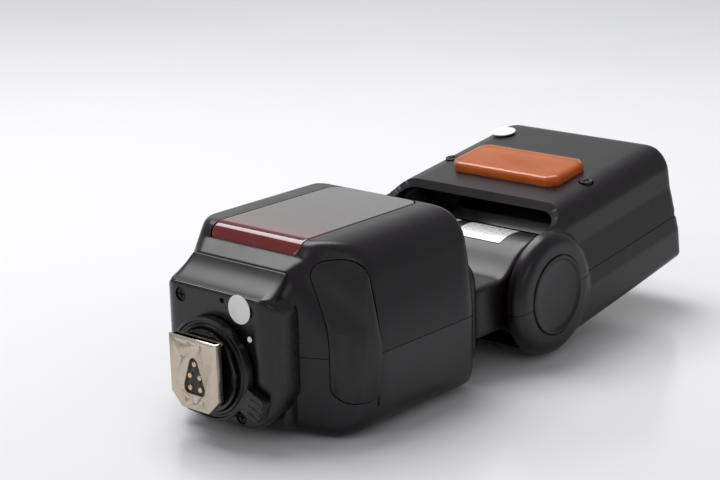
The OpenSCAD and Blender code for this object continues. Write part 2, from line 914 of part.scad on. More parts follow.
module head_bottom_shell() {
    color("#1b1b1d") in_head() difference() {
        head_shell_form();
        translate([-far, -far, 0]) cube([2 * far, 2 * far, far]);
        for (p = floor_screws) {
            translate([p[0], p[1], -far]) cylinder(r = screw_r + run_fit, h = far - 5);
            translate([p[0], p[1], -far]) cylinder(r = screw_head_r + run_fit, h = far - floor_at(p[0]) + 0.9);
        }
    }
}

// Depth of the floor below the tilt axis at distance u
function floor_at(u) = ear_r - u * floor_drop;

module head_screws() {
    color("#2b2b2e") in_head() {
        for (p = roof_screws) translate([p[0], p[1], head_top]) difference() {
            union() {
                translate([0, 0, -1.2]) cylinder(r = screw_head_r, h = 0.8);
                translate([0, 0, -5.4]) cylinder(r = screw_r, h = 4.4);
            }
            for (a = [0, 90]) rotate([0, 0, a]) translate([-1.4, -0.3, -0.8]) cube([2.8, 0.6, 2]);
        }
        for (p = floor_screws) translate([p[0], p[1], -floor_at(p[0])]) {
            translate([0, 0, 0.5]) cylinder(r = screw_head_r, h = 0.4);
            translate([0, 0, 0.5]) cylinder(r = screw_r, h = 4.5);
        }
    }
}

module tilt_shaft() {
    color("#bdbdbf") in_head() difference() {
        rod_y_axis(0, 0, shaft_r, ear_w - 5);
        rod_y_axis(0, 0, shaft_r - 1.6, ear_w);
    }
}

module hinge_caps() {
    color("#1c1c1e") in_head() for (s = [-1, 1]) translate([0, s * (ear_w / 2 - 0.3), 0]) difference() {
        rod_y_axis(0, 0, cap_r, 1.7);
        translate([0, s * 0.85, 0]) rod_y_axis(0, 0, cap_r - 1.4, 0.8);
    }
}

module lens_bezel() {
    half = head_section_half();
    color("#202022") in_head() difference() {
        along_x(head_len - bezel_t, head_len - 0.3) intersection() {
            inset_by(head_wall + 0.1) polygon(concat(half, flip(half)));
            translate([-far / 2, -head_low + head_wall + 0.35])
                square([far, head_low + head_top - 2 * head_wall - 0.5]);
        }
        translate([head_len - bezel_t - 1, -window_half + 1, window_low + 1])
            cube([bezel_t + 2, 2 * window_half - 2, window_high - window_low - 2]);
        translate([head_len - 3.4, -window_half, window_low])
            cube([far, 2 * window_half, window_high - window_low]);
        translate([head_len - bezel_t - 1, -card_half - 0.4, tray_w])
            cube([far, 2 * card_half + 0.8, card_w1 + stack_gap - tray_w]);
    }
}

module fresnel_lens() {
    color("#dfe6ea", 0.5) in_head() translate([head_len - 3.4, -window_half + 0.1, window_low + 0.1])
        cube([lens_t, 2 * window_half - 0.2, window_high - window_low - 0.2]);
}

// Heights of the layers above the window
wide_w0 = tray_w + tray_t + stack_gap;
card_w0 = wide_w0 + wide_t + stack_gap;
card_w1 = card_w0 + card_t;

module panel_tray() {
    color("#232325") in_head() translate([22, -card_half - 3, tray_w])
        cube([head_len - bezel_t - 22.2, 2 * card_half + 6, tray_t]);
}

module wide_panel() {
    color("#d8dde0", 0.6) in_head() translate([head_len - 45, -card_half, wide_w0])
        cube([44.5, 2 * card_half, wide_t]);
}

module bounce_card() {
    color("#f2f2ee") in_head() translate([head_len - 46, -card_half, card_w0])
        cube([45.5, 2 * card_half, card_t]);
}

module guide_rods() {
    color("#c4c4c6") in_head() for (s = [-1, 1]) rod_x(rod_u0, head_len - bezel_t, s * rod_y, rod_w, rod_r);
}

module zoom_motor() {
    color("#8f8f92") in_head() difference() {
        rod_x(motor_u, motor_u + motor_len, screw_y, screw_w, motor_r);
        rod_x(motor_u + motor_len - 3, motor_u + motor_len + 1, screw_y, screw_w, 0.9);
    }
}

module lead_screw() {
    color("#cfcfd1") in_head() {
        rod_x(motor_u + motor_len - 2.5, motor_u + motor_len + 2, screw_y, screw_w, 0.85);
        rod_x(motor_u + motor_len + 1, head_len - bezel_t - 1, screw_y, screw_w, 1.3);
    }
}

// Half height of the mirror's curve at distance u from its back
function mirror_w(u, t) = mirror_back + t + (mirror_front - mirror_back) * sqrt(u / mirror_len);

mirror_steps = 8;
function mirror_curve(t) = [for (i = [0:mirror_steps]) let (u = mirror_len * i / mirror_steps) [u, mirror_w(u, t)]];

module reflector() {
    inner = mirror_curve(0);
    outer = mirror_curve(mirror_t);
    color("#d9dadc") in_head() translate([mirror_u, 0, 0]) {
        difference() {
            along_y(2 * mirror_half_y) polygon(concat(outer, [for (i = [mirror_steps:-1:0]) [outer[i][0], -outer[i][1]]]));
            translate([mirror_t, 0, 0]) along_y(2 * mirror_half_y - 2 * mirror_t)
                polygon(concat(inner, [for (i = [mirror_steps:-1:0]) [inner[i][0], -inner[i][1]]]));
            rod_y_axis(tube_u, 0, tube_r + run_fit, far);
        }
    }
}

module xenon_tube() {
    color("#e8ecec", 0.6) in_head() translate([mirror_u, 0, 0]) {
        rod_y_axis(tube_u, 0, tube_r, 2 * tube_half + 5);
        for (s = [-1, 1]) translate([0, s * (tube_half + 3.2), 0]) rod_y_axis(tube_u, 0, 0.5, 2.4);
    }
}

module zoom_carriage() {
    color("#2a2a2c") in_head() translate([mirror_u, 0, 0]) difference() {
        union() {
            for (s = [-1, 1]) translate([2, s * (mirror_half_y + 3.1) - 2.3, rod_w - 2.6]) cube([9, 4.6, 5.2]);
            for (s = [-1, 1]) translate([8, s * (mirror_half_y + 1.2) - 0.7, rod_w]) cube([3, 1.4, 18]);
            translate([2, screw_y - 2, rod_w]) cube([6, 4, 8.5]);
        }
        for (s = [-1, 1]) rod_x(-far, far, s * rod_y, rod_w, rod_r + run_fit);
        rod_x(-far, far, screw_y, screw_w, 1.3 + run_fit);
    }
}

module amber_window() {
    size = [amber_u[1] - amber_u[0], 2 * amber_half];
    color("#d4501c") in_head() translate([(amber_u[0] + amber_u[1]) / 2, 0, 0]) {
        translate([0, 0, head_top]) linear_extrude(amber_rise) rounded(size, 2.5);
        block(size - [3.1, 3.1], head_top - head_wall, head_top);
    }
}

body_front_shell();
body_rear_shell();
front_panel();
af_lamp();
foot_block();
shoe_block();
shoe_plate();
foot_screws();
shell_screws();
swivel_bearing();
main_board();
key_board();
main_capacitor();
transformer();
lcd_window();
lcd_module();
battery_tray();
battery_cells();
battery_contacts();
hinge_pins();
socket_panel();
sync_socket();
power_socket();
contact_pins();
lock_ring();
lock_pin();
battery_door();
door_contact();
door_latch();
socket_cover();
key_mode();
key_light();
key_zoom();
key_up();
key_down();
key_left();
key_right();
key_ok();
key_power();
key_pilot();
neck_frame();
swivel_clip();
neck_label();
head_top_shell();
head_bottom_shell();
tilt_shaft();
hinge_caps();
head_screws();
lens_bezel();
fresnel_lens();
panel_tray();
guide_rods();
zoom_motor();
amber_window();
wide_panel();
bounce_card();
lead_screw();
zoom_carriage();
reflector();
xenon_tube();
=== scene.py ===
import math

import bmesh
import bpy
import numpy as np
from mathutils import Matrix, Vector


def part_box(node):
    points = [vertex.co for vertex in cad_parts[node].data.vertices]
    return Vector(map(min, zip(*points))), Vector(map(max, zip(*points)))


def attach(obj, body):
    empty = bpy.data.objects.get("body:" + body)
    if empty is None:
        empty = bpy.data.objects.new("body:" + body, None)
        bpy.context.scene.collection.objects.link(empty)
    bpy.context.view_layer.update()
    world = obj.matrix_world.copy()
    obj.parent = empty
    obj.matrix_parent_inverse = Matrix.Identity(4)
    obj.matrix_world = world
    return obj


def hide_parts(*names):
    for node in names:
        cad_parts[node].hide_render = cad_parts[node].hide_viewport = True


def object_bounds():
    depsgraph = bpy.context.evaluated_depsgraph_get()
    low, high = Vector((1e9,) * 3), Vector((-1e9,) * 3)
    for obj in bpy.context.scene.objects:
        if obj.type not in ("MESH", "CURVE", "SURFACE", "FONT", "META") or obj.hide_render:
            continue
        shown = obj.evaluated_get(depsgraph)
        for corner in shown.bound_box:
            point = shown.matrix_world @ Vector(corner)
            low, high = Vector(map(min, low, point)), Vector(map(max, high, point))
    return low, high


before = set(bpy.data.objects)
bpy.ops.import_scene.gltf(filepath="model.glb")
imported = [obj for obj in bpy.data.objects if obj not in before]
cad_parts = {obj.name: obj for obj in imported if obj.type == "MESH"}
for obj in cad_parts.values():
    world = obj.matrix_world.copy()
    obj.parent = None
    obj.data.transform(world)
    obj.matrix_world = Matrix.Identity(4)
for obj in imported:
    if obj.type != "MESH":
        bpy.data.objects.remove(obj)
cadLow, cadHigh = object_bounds()
print("frame loaded with", len(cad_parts), "nodes")

# Sizes below are in millimetres: X from the shoe plate's outer face, Z from the back face.
mm = 0.001
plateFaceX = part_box("shoe_plate")[0].x / mm
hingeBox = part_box("tilt_shaft")
hinge = (np.array(hingeBox[0]) + np.array(hingeBox[1])) / 2 / mm - [plateFaceX, 0, 0]
headTilt = math.radians(7.8)   # the head leans up by this much as it lies


def inBody(points):
    return (points + np.array([plateFaceX, 0, 0])) * mm


# Head pieces are drawn along u (to the lens), y and w (to the roof), then turned about the hinge
def inHead(points):
    u, y, w = points[..., 0], points[..., 1], points[..., 2]
    turned = np.stack([u * math.cos(headTilt) - w * math.sin(headTilt), y,
                       u * math.sin(headTilt) + w * math.cos(headTilt)], -1)
    return inBody(turned + hinge)


def arc(centre, radius, start, end, steps=14):
    turn = np.radians(np.linspace(start, end, steps + 1))
    return np.stack([centre[0] + radius * np.cos(turn), centre[1] + radius * np.sin(turn)], -1)


def mirrored(half):
    return np.concatenate([half, half[::-1] * [-1, 1]])


# Corners of a convex outline rounded by an arc that touches both sides
def roundedOutline(corners, radii, steps=8):
    corners = np.array(corners, float)
    parts = []
    for i, radius in enumerate(radii):
        here, before, after = corners[i], corners[i - 1], corners[(i + 1) % len(corners)]
        a = (before - here) / np.linalg.norm(before - here)
        b = (after - here) / np.linalg.norm(after - here)
        halfAngle = math.acos(np.clip(a @ b, -1, 1)) / 2
        middle = here + (a + b) / np.linalg.norm(a + b) * radius / math.sin(halfAngle)
        first = here + a * radius / math.tan(halfAngle) - middle
        last = here + b * radius / math.tan(halfAngle) - middle
        share = np.linspace(0, 1, steps + 1)[:, None]
        mixed = first * (1 - share) + last * share
        parts.append(middle + mixed / np.linalg.norm(mixed, axis=1, keepdims=True) * radius)
    return np.concatenate(parts)


def rectangle(low, high, radius, steps=8):
    (x0, y0), (x1, y1) = low, high
    return roundedOutline([(x0, y0), (x1, y0), (x1, y1), (x0, y1)], [radius] * 4, steps)


# Outlines are walked at even spacing, so the ruling of a plate stays even
def evenly(outline, count):
    closed = np.vstack([outline, outline[:1]])
    run = np.concatenate([[0], np.cumsum(np.linalg.norm(np.diff(closed, axis=0), axis=1))])
    at = np.linspace(0, run[-1], count, endpoint=False)
    return np.stack([np.interp(at, run, closed[:, 0]), np.interp(at, run, closed[:, 1])], -1)


# Signed distance to an outline: least distance to its sides, negative inside
def outlineDepth(p, q, outline):
    a, b = outline, np.roll(outline, -1, axis=0)
    side = b - a
    length = np.maximum((side ** 2).sum(1), 1e-12)
    dx, dy = p[:, None] - a[:, 0], q[:, None] - a[:, 1]
    share = np.clip((dx * side[:, 0] + dy * side[:, 1]) / length, 0, 1)
    gap = np.hypot(dx - share * side[:, 0], dy - share * side[:, 1]).min(1)
    rise = np.where(side[:, 1] == 0, 1e-9, side[:, 1])
    crosses = ((a[:, 1] <= q[:, None]) != (b[:, 1] <= q[:, None])) & (dx < side[:, 0] * dy / rise)
    return np.where(crosses.sum(1) % 2 == 1, -gap, gap)


# The same distance read from a ruled table, which is quick to ask again and again
def depthTable(outline, low, high, step=0.3):
    ps, qs = np.arange(low[0], high[0] + step, step), np.arange(low[1], high[1] + step, step)
    table = np.stack([outlineDepth(np.full_like(qs, p), qs, outline) for p in ps])

    def read(p, q):
        i = np.clip((p - low[0]) / step, 0, len(ps) - 1.001)
        j = np.clip((q - low[1]) / step, 0, len(qs) - 1.001)
        i0, j0 = i.astype(int), j.astype(int)
        fi, fj = i - i0, j - j0
        return (table[i0, j0] * (1 - fi) * (1 - fj) + table[i0 + 1, j0] * fi * (1 - fj)
                + table[i0, j0 + 1] * (1 - fi) * fj + table[i0 + 1, j0 + 1] * fi * fj)
    return read


# Larger of two depths, eased over the given width, so the edge between two faces is rounded
def easedMax(a, b, width):
    near = np.maximum(width - np.abs(a - b), 0)
    return np.maximum(a, b) + near * near / (4 * width)


def easedMin(a, b, width):
    return -easedMax(-a, -b, width)


# Distance from a start along a direction at which a depth passes through zero, by halving
def reachOf(depthAt, start, direction, far=120.0, halvings=22):
    low, high = np.zeros(len(direction)), np.full(len(direction), far)
    for _ in range(halvings):
        middle = (low + high) / 2
        inside = depthAt(start + direction * middle[:, None]) < 0
        low, high = np.where(inside, middle, low), np.where(inside, high, middle)
    return (low + high) / 2


# A ball ruled like the six faces of a cube at equal angles, every ruling point pushed out to the surface
def castForm(depthAt, centre, count):
    rule = np.tan(np.linspace(-math.pi / 4, math.pi / 4, count))
    a, b = np.meshgrid(rule, rule, indexing="ij")
    one = np.ones_like(a)
    sides = [(one, a, b), (-one, b, a), (b, one, a), (a, -one, b), (a, b, one), (b, a, -one)]
    ways = np.concatenate([np.stack(s, -1).reshape(-1, 3) for s in sides])
    ways /= np.linalg.norm(ways, axis=1, keepdims=True)
    square = gridFaces(count, count, False)
    faces = np.concatenate([square + k * count * count for k in range(6)])
    centre = np.array(centre, float)
    return centre + ways * reachOf(depthAt, centre, ways)[:, None], faces


# Squares between neighbouring rows and columns; the columns may run round and close
def gridFaces(rows, cols, closed):
    i, j = np.meshgrid(np.arange(rows - 1), np.arange(cols if closed else cols - 1), indexing="ij")
    k = (j + 1) % cols
    return np.stack([i * cols + j, (i + 1) * cols + j, (i + 1) * cols + k, i * cols + k], -1).reshape(-1, 4)


# A plate with a rolled rim: inner rings shrink to the middle, the rim is a quarter circle,
# and the back has a rim of its own
def plateForm(outline, lift, thick, edge, backEdge=0.0, rings=14):
    ahead, behind = np.roll(outline, -1, axis=0), np.roll(outline, 1, axis=0)
    along = ahead - behind
    out = np.stack([along[:, 1], -along[:, 0]], -1) / np.linalg.norm(along, axis=1, keepdims=True)
    spin = (outline[:, 0] * ahead[:, 1] - ahead[:, 0] * outline[:, 1]).sum()
    out = out * (1 if spin > 0 else -1)
    middle = outline.mean(axis=0)
    rows, depths = [], []
    for share in np.linspace(0, 1, rings):
        rows.append(middle + (outline - out * edge - middle) * share)
        depths.append(0)
    for turn in np.linspace(0, math.pi / 2, 5)[1:]:
        rows.append(outline - out * edge * (1 - math.sin(turn)))
        depths.append(edge * (1 - math.cos(turn)))
    for turn in np.linspace(0, math.pi / 2, 4):
        rows.append(outline - out * backEdge * (1 - math.cos(turn)))
        depths.append(thick - backEdge * (1 - math.sin(turn)))
    for share in np.linspace(1, 0, max(rings // 2, 2)):
        rows.append(middle + (outline - out * backEdge - middle) * share)
        depths.append(thick)
    flat = np.array(rows)
    height = lift(flat[..., 0].ravel(), flat[..., 1].ravel()).reshape(flat.shape[:2])
    points = np.concatenate([flat, (height - np.array(depths)[:, None])[..., None]], -1)
    return points.reshape(-1, 3), gridFaces(len(rows), len(outline), True)


def level(height):
    return lambda p, q: np.full_like(p, height)


# A profile of distance from the axis and place along it, carried once round the axis
def turnedForm(profile, steps=72):
    turn = np.linspace(0, 2 * math.pi, steps, endpoint=False)
    radius, along = np.array(profile)[:, 0][:, None], np.array(profile)[:, 1][:, None]
    rings = np.stack([radius * np.cos(turn), radius * np.sin(turn), along * np.ones_like(turn)], -1)
    return rings.reshape(-1, 3), gridFaces(len(profile), steps, True)


# Outline drawn out straight, capped at both ends
def prismForm(outline, low, high):
    count = len(outline)
    ends = [np.column_stack([outline, np.full(count, h)]) for h in (low, high)]
    ring = np.arange(count)
    sides = np.stack([ring, np.roll(ring, -1), np.roll(ring, -1) + count, ring + count], -1)
    return np.concatenate(ends), [*map(list, sides), list(ring[::-1]), list(ring + count)]


def blockForm(low, high):
    (x0, y0, z0), (x1, y1, z1) = low, high
    return prismForm(np.array([(x0, y0), (x1, y0), (x1, y1), (x0, y1)], float), z0, z1)


sharpFrom = 35   # faces that meet at more than this many degrees keep a sharp edge


# Mesh from points and faces, doubles merged and faces turned outwards
def newPiece(name, form, place=inBody):
    points, faces = form
    faces = faces.tolist() if hasattr(faces, "tolist") else faces
    mesh = bpy.data.meshes.new(name)
    mesh.from_pydata(place(np.asarray(points, float)).tolist(), [], faces)
    piece = bpy.data.objects.new(name, mesh)
    bpy.context.scene.collection.objects.link(piece)
    tidyMesh(mesh)
    shade(piece, sharpFrom)
    return piece


# Straight-sided tool for a cut
def cutter(outline, low, high, place=inBody):
    return newPiece("tool", prismForm(outline, low, high), place)


def tidyMesh(mesh, flatten=False):
    work = bmesh.new()
    work.from_mesh(mesh)
    bmesh.ops.remove_doubles(work, verts=work.verts, dist=2e-6)
    bmesh.ops.dissolve_degenerate(work, edges=work.edges, dist=1e-7)
    if flatten:
        bmesh.ops.dissolve_limit(work, angle_limit=math.radians(0.6), verts=work.verts, edges=work.edges)
    bmesh.ops.recalc_face_normals(work, faces=work.faces)
    work.to_mesh(mesh)
    work.free()


def shade(piece, crease):
    mesh = piece.data
    mesh.polygons.foreach_set("use_smooth", np.ones(len(mesh.polygons), bool))
    mesh.set_sharp_from_angle(angle=math.radians(crease))
    mesh.update()


# Modifiers are worked into the mesh, so nothing live is left
def settle(piece, crease):
    ready = piece.evaluated_get(bpy.context.evaluated_depsgraph_get())
    mesh = bpy.data.meshes.new_from_object(ready)
    piece.modifiers.clear()
    old, piece.data = piece.data, mesh
    bpy.data.meshes.remove(old)
    mesh.name = piece.name
    shade(piece, crease)


def combine(piece, tools, way="DIFFERENCE", crease=sharpFrom):
    for tool in tools:
        step = piece.modifiers.new(way, "BOOLEAN")
        step.operation, step.object, step.solver = way, tool, "MANIFOLD"
    settle(piece, crease)
    for tool in tools:
        bpy.data.objects.remove(tool)


def softenEdges(piece, width, angle):
    step = piece.modifiers.new("edges", "BEVEL")
    step.width, step.segments, step.limit_method = width * mm, 2, "ANGLE"
    step.angle_limit, step.harden_normals = math.radians(angle), True
    settle(piece, 60)


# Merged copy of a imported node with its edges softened, which then stands for the node
def refined(node, width, body, finish, angle=40, tools=(), name=None):
    piece = bpy.data.objects.new(name or "fine_" + node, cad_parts[node].data.copy())
    bpy.context.scene.collection.objects.link(piece)
    tidyMesh(piece.data, flatten=True)
    if tools:
        combine(piece, tools)
    if width:
        softenEdges(piece, width, angle)
    shade(piece, sharpFrom)
    dress(piece, body, finish, node)
    return piece


# Gives a piece its body, its finish and the nodes it stands for; the slot argument is not used
def dress(piece, body, finish, *nodes, slot=None):
    piece.data.materials.clear()
    piece.data.materials.append(finish)
    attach(piece, body)
    if nodes:
        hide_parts(*nodes)
    return piece


def fromHex(text):
    parts = [int(text[i:i + 2], 16) / 255 for i in (1, 3, 5)]
    return tuple(v / 12.92 if v <= 0.04045 else ((v + 0.055) / 1.055) ** 2.4 for v in parts) + (1.0,)


# Adds one node with its settings (sockets by name or number, else attributes) and its links
def addNode(tree, kind, settings=None, links=None):
    node = tree.nodes.new(kind)
    for key, value in (settings or {}).items():
        if isinstance(key, int) or key in node.inputs:
            node.inputs[key].default_value = value
        else:
            setattr(node, key, value)
    for key, source in (links or {}).items():
        tree.links.new(source, node.inputs[key])
    return node


def blankFinish(name, slot, settings):
    material = bpy.data.materials.new(name)
    material.use_nodes = True
    material["slot"] = slot
    tree = material.node_tree
    shader = next(n for n in tree.nodes if n.type == "BSDF_PRINCIPLED")
    for key, value in settings.items():
        shader.inputs[key].default_value = value
    place = addNode(tree, "ShaderNodeTexCoord").outputs["Object"]
    return material, tree, shader, place


# Nodes that most finishes share: noise, a mix of two tones, a narrowed range, a fine relief, the last links
def noise(tree, scale, detail, place):
    return addNode(tree, "ShaderNodeTexNoise", {"Scale": scale, "Detail": detail}, {"Vector": place}).outputs[0]


def twoTones(tree, colour, fade, share):
    tones = {"data_type": "RGBA", 6: fromHex(colour), 7: fromHex(fade)}
    return addNode(tree, "ShaderNodeMix", tones, {0: share}).outputs[2]


def ranged(tree, source, low, high, least, most):
    return addNode(tree, "ShaderNodeMapRange", {1: low, 2: high, 3: least, 4: most}, {0: source}).outputs[0]


def fineRelief(tree, look, height):
    settings = {"Strength": look["strength"], "Distance": look["depth"] * mm}
    return addNode(tree, "ShaderNodeBump", settings, {"Height": height}).outputs[0]


def wire(tree, shader, tone, gloss, relief=None):
    tree.links.new(tone, shader.inputs["Base Color"])
    tree.links.new(gloss, shader.inputs["Roughness"])
    if relief is not None:
        tree.links.new(relief, shader.inputs["Normal"])


# Two close tones in soft patches, a roughness that wanders a little, and a fine grain in the surface
def plasticFinish(name, slot, look):
    material, tree, shader, place = blankFinish(name, slot, {"IOR": look.get("ior", 1.5)})
    patch = noise(tree, 1000 / look["patch"], 4.0, place)
    grain = noise(tree, 1000 / look["grain"], 2.0, place)
    gloss = ranged(tree, patch, 0.3, 0.7, look["rough"] - look["spread"], look["rough"] + look["spread"])
    wire(tree, shader, twoTones(tree, look["colour"], look["fade"], patch), gloss, fineRelief(tree, look, grain))
    return material


# Metal with fine lines drawn along one axis: noise squeezed across the brushing direction
def metalFinish(name, slot, look):
    material, tree, shader, place = blankFinish(name, slot, {"Metallic": 1.0})
    turned = addNode(tree, "ShaderNodeMapping", {"Scale": look["brush"]}, {"Vector": place}).outputs[0]
    lines = noise(tree, 1000 / look["grain"], 3.0, turned)
    stain = noise(tree, 1000 / look["patch"], 3.0, place)
    gloss = ranged(tree, lines, 0.25, 0.75, look["rough"] * 0.7, look["rough"] * 1.3)
    wire(tree, shader, twoTones(tree, look["colour"], look["fade"], stain), gloss, fineRelief(tree, look, lines))
    return material


# Spark-eroded ABS: satin black with a fine even grain that breaks up the highlight
caseAbs = plasticFinish("spark-eroded black ABS", "black_abs", {
    "colour": "#110b10", "fade": "#181217", "ior": 1.44, "patch": 9, "grain": 0.45, "rough": 0.3, "spread": 0.03,
    "depth": 0.03, "strength": 0.3})
# Plain moulded black plastic of the foot and neck, a little glossier
footNylon = plasticFinish("glass-filled black nylon", "dark_plastic", {
    "colour": "#0a090b", "fade": "#100e11", "patch": 5, "grain": 0.6, "rough": 0.27, "spread": 0.05,
    "depth": 0.02, "strength": 0.25})
coverRubber = plasticFinish("matt moulded elastomer", "cover_rubber", {
    "colour": "#0e0c0f", "fade": "#141215", "patch": 7, "grain": 0.4, "rough": 0.4, "spread": 0.03,
    "depth": 0.03, "strength": 0.4})
keyRubber = plasticFinish("silicone key rubber", "key_rubber", {
    "colour": "#2a2a2d", "fade": "#343438", "patch": 3, "grain": 0.3, "rough": 0.55, "spread": 0.04,
    "depth": 0.015, "strength": 0.3})
keyMark = plasticFinish("pad-printed grey ink", "key_rubber", {
    "colour": "#a9abb0", "fade": "#b9bbc0", "patch": 2, "grain": 0.3, "rough": 0.5, "spread": 0.04,
    "depth": 0.01, "strength": 0.2})
pilotTint = plasticFinish("translucent red acrylic", "pilot_tint", {
    "colour": "#7a2016", "fade": "#8f2a1c", "patch": 3, "grain": 0.5, "rough": 0.25, "spread": 0.04,
    "depth": 0.01, "strength": 0.2})
darkPlastic = plasticFinish("injection-moulded polycarbonate blend", "dark_plastic", {
    "colour": "#1c1c1e", "fade": "#242426", "patch": 6, "grain": 0.5, "rough": 0.45, "spread": 0.05,
    "depth": 0.02, "strength": 0.3})
boardGreen = plasticFinish("solder mask on glass epoxy", "board_green", {
    "colour": "#164a2c", "fade": "#1f5e39", "patch": 4, "grain": 0.8, "rough": 0.32, "spread": 0.06,
    "depth": 0.03, "strength": 0.4})
sleeveBlack = plasticFinish("shrink sleeve PVC", "capacitor_sleeve", {
    "colour": "#1b2029", "fade": "#242a35", "patch": 6, "grain": 1.0, "rough": 0.28, "spread": 0.05,
    "depth": 0.04, "strength": 0.3})
windingTape = plasticFinish("polyester winding tape", "winding", {
    "colour": "#8a6b1e", "fade": "#a17e28", "patch": 4, "grain": 0.7, "rough": 0.35, "spread": 0.05,
    "depth": 0.04, "strength": 0.4})
cellWrap = plasticFinish("printed cell wrap", "cell", {
    "colour": "#c4c7cb", "fade": "#d5d8dc", "patch": 7, "grain": 0.8, "rough": 0.3, "spread": 0.05,
    "depth": 0.02, "strength": 0.2})
cardWhite = plasticFinish("matt white polystyrene", "card_white", {
    "colour": "#e6e5e0", "fade": "#efeeea", "patch": 8, "grain": 0.5, "rough": 0.6, "spread": 0.04,
    "depth": 0.02, "strength": 0.3})
stickerPaper = plasticFinish("uncoated sticker paper", "label", {
    "colour": "#e4e4e2", "fade": "#f4f4f2", "patch": 3, "grain": 0.25, "rough": 0.7, "spread": 0.05,
    "depth": 0.02, "strength": 0.4})
displayGrey = plasticFinish("reflective liquid crystal cell", "lcd_glass", {
    "colour": "#606b5c", "fade": "#6d7868", "patch": 10, "grain": 0.4, "rough": 0.3, "spread": 0.03,
    "depth": 0.01, "strength": 0.2})
shoeNickel = metalFinish("satin nickel plate on steel", "nickel", {
    "colour": "#b5a998", "fade": "#cbc0b0", "patch": 3, "grain": 0.35, "brush": (1, 0.35, 3.0), "rough": 0.3,
    "depth": 0.012, "strength": 0.35})
contactGold = metalFinish("hard gold plate", "gold", {
    "colour": "#c9b184", "fade": "#d9c8a2", "patch": 1, "grain": 0.4, "brush": (1, 1, 1), "rough": 0.22,
    "depth": 0.008, "strength": 0.2})
blackSteel = metalFinish("black oxide steel", "black_steel", {
    "colour": "#2a2a2d", "fade": "#3a3a3e", "patch": 2, "grain": 0.4, "brush": (1, 1, 1), "rough": 0.38,
    "depth": 0.01, "strength": 0.3})
brightSteel = metalFinish("ground stainless steel", "steel", {
    "colour": "#b9b9bb", "fade": "#c9c9cc", "patch": 4, "grain": 0.3, "brush": (0.3, 4, 4), "rough": 0.26,
    "depth": 0.01, "strength": 0.3})
springBronze = metalFinish("nickel-plated phosphor bronze", "spring_bronze", {
    "colour": "#c9b98a", "fade": "#d8c99c", "patch": 3, "grain": 0.4, "brush": (1, 3, 1), "rough": 0.28,
    "depth": 0.01, "strength": 0.3})
mirrorMetal = metalFinish("anodised reflector aluminium", "mirror_metal", {
    "colour": "#d9dadc", "fade": "#e4e5e7", "patch": 8, "grain": 0.5, "brush": (1, 6, 1), "rough": 0.14,
    "depth": 0.006, "strength": 0.2})


# Smoked sheet over a red one: deep red at the foot end, near black towards the head, under a hard gloss coat
def panelFinish():
    look = {"stops": [(0.0, "#6d0d16"), (0.13, "#5a0a12"), (0.3, "#2a090d"), (0.62, "#150c0e"), (1.0, "#100c0e")],
            "from": 24, "to": 82, "rough": 0.07}
    coat = {"IOR": 1.49, "Coat Weight": 0.6, "Coat Roughness": 0.03, "Coat IOR": 1.5}
    material, tree, shader, place = blankFinish("smoked red acrylic sheet", "gloss_red", coat)
    axes = addNode(tree, "ShaderNodeSeparateXYZ", {}, {0: place})
    start, stop = (look["from"] + plateFaceX) * mm, (look["to"] + plateFaceX) * mm
    along = ranged(tree, axes.outputs[0], start, stop, 0.0, 1.0)
    ramp = addNode(tree, "ShaderNodeValToRGB", {}, {0: along})
    while len(ramp.color_ramp.elements) < len(look["stops"]):
        ramp.color_ramp.elements.new(0.5)
    for stop, (at, colour) in zip(ramp.color_ramp.elements, look["stops"]):
        stop.position, stop.color = at, fromHex(colour)
    dust = noise(tree, 220.0, 5.0, place)
    wire(tree, shader, ramp.outputs[0], ranged(tree, dust, 0.35, 0.7, look["rough"], look["rough"] + 0.06))
    return material


# Clear or tinted plastic: light passes, a faint haze keeps it from looking like nothing
def clearFinish(name, slot, look, extra=None):
    passing = {"IOR": look["ior"], "Transmission Weight": look["pass"], **(extra or {})}
    material, tree, shader, place = blankFinish(name, slot, passing)
    haze = noise(tree, 1000 / look["patch"], 3.0, place)
    gloss = ranged(tree, haze, 0.3, 0.7, look["rough"], look["rough"] * 1.6)
    wire(tree, shader, twoTones(tree, look["colour"], look["fade"], haze), gloss)
    return material


panelGloss = panelFinish()
amberTint = clearFinish("amber polycarbonate", "amber", {
    "colour": "#e2681c", "fade": "#f58e30", "patch": 8, "rough": 0.14, "pass": 0.55, "ior": 1.58},
    {"Subsurface Weight": 0.2, "Subsurface Scale": 0.004, "Subsurface Radius": (1.0, 0.35, 0.1)})
lensClear = clearFinish("pressed clear acrylic", "lens_clear", {
    "colour": "#eef2f4", "fade": "#f6f8f9", "patch": 10, "rough": 0.06, "pass": 0.85, "ior": 1.49})
panelClear = clearFinish("clear polycarbonate diffuser", "panel_clear", {
    "colour": "#dfe6e9", "fade": "#eaf0f2", "patch": 10, "rough": 0.18, "pass": 0.7, "ior": 1.58})
displayClear = clearFinish("hard-coated display window", "lcd_clear", {
    "colour": "#8f9892", "fade": "#9aa39d", "patch": 12, "rough": 0.05, "pass": 0.8, "ior": 1.5})
lampRed = clearFinish("deep red infrared acrylic", "lamp_red", {
    "colour": "#5a0d12", "fade": "#6c1218", "patch": 5, "rough": 0.08, "pass": 0.3, "ior": 1.49})
tubeGlass = clearFinish("quartz tube glass", "tube_glass", {
    "colour": "#f0f4f4", "fade": "#fafcfc", "patch": 6, "rough": 0.03, "pass": 0.92, "ior": 1.46})


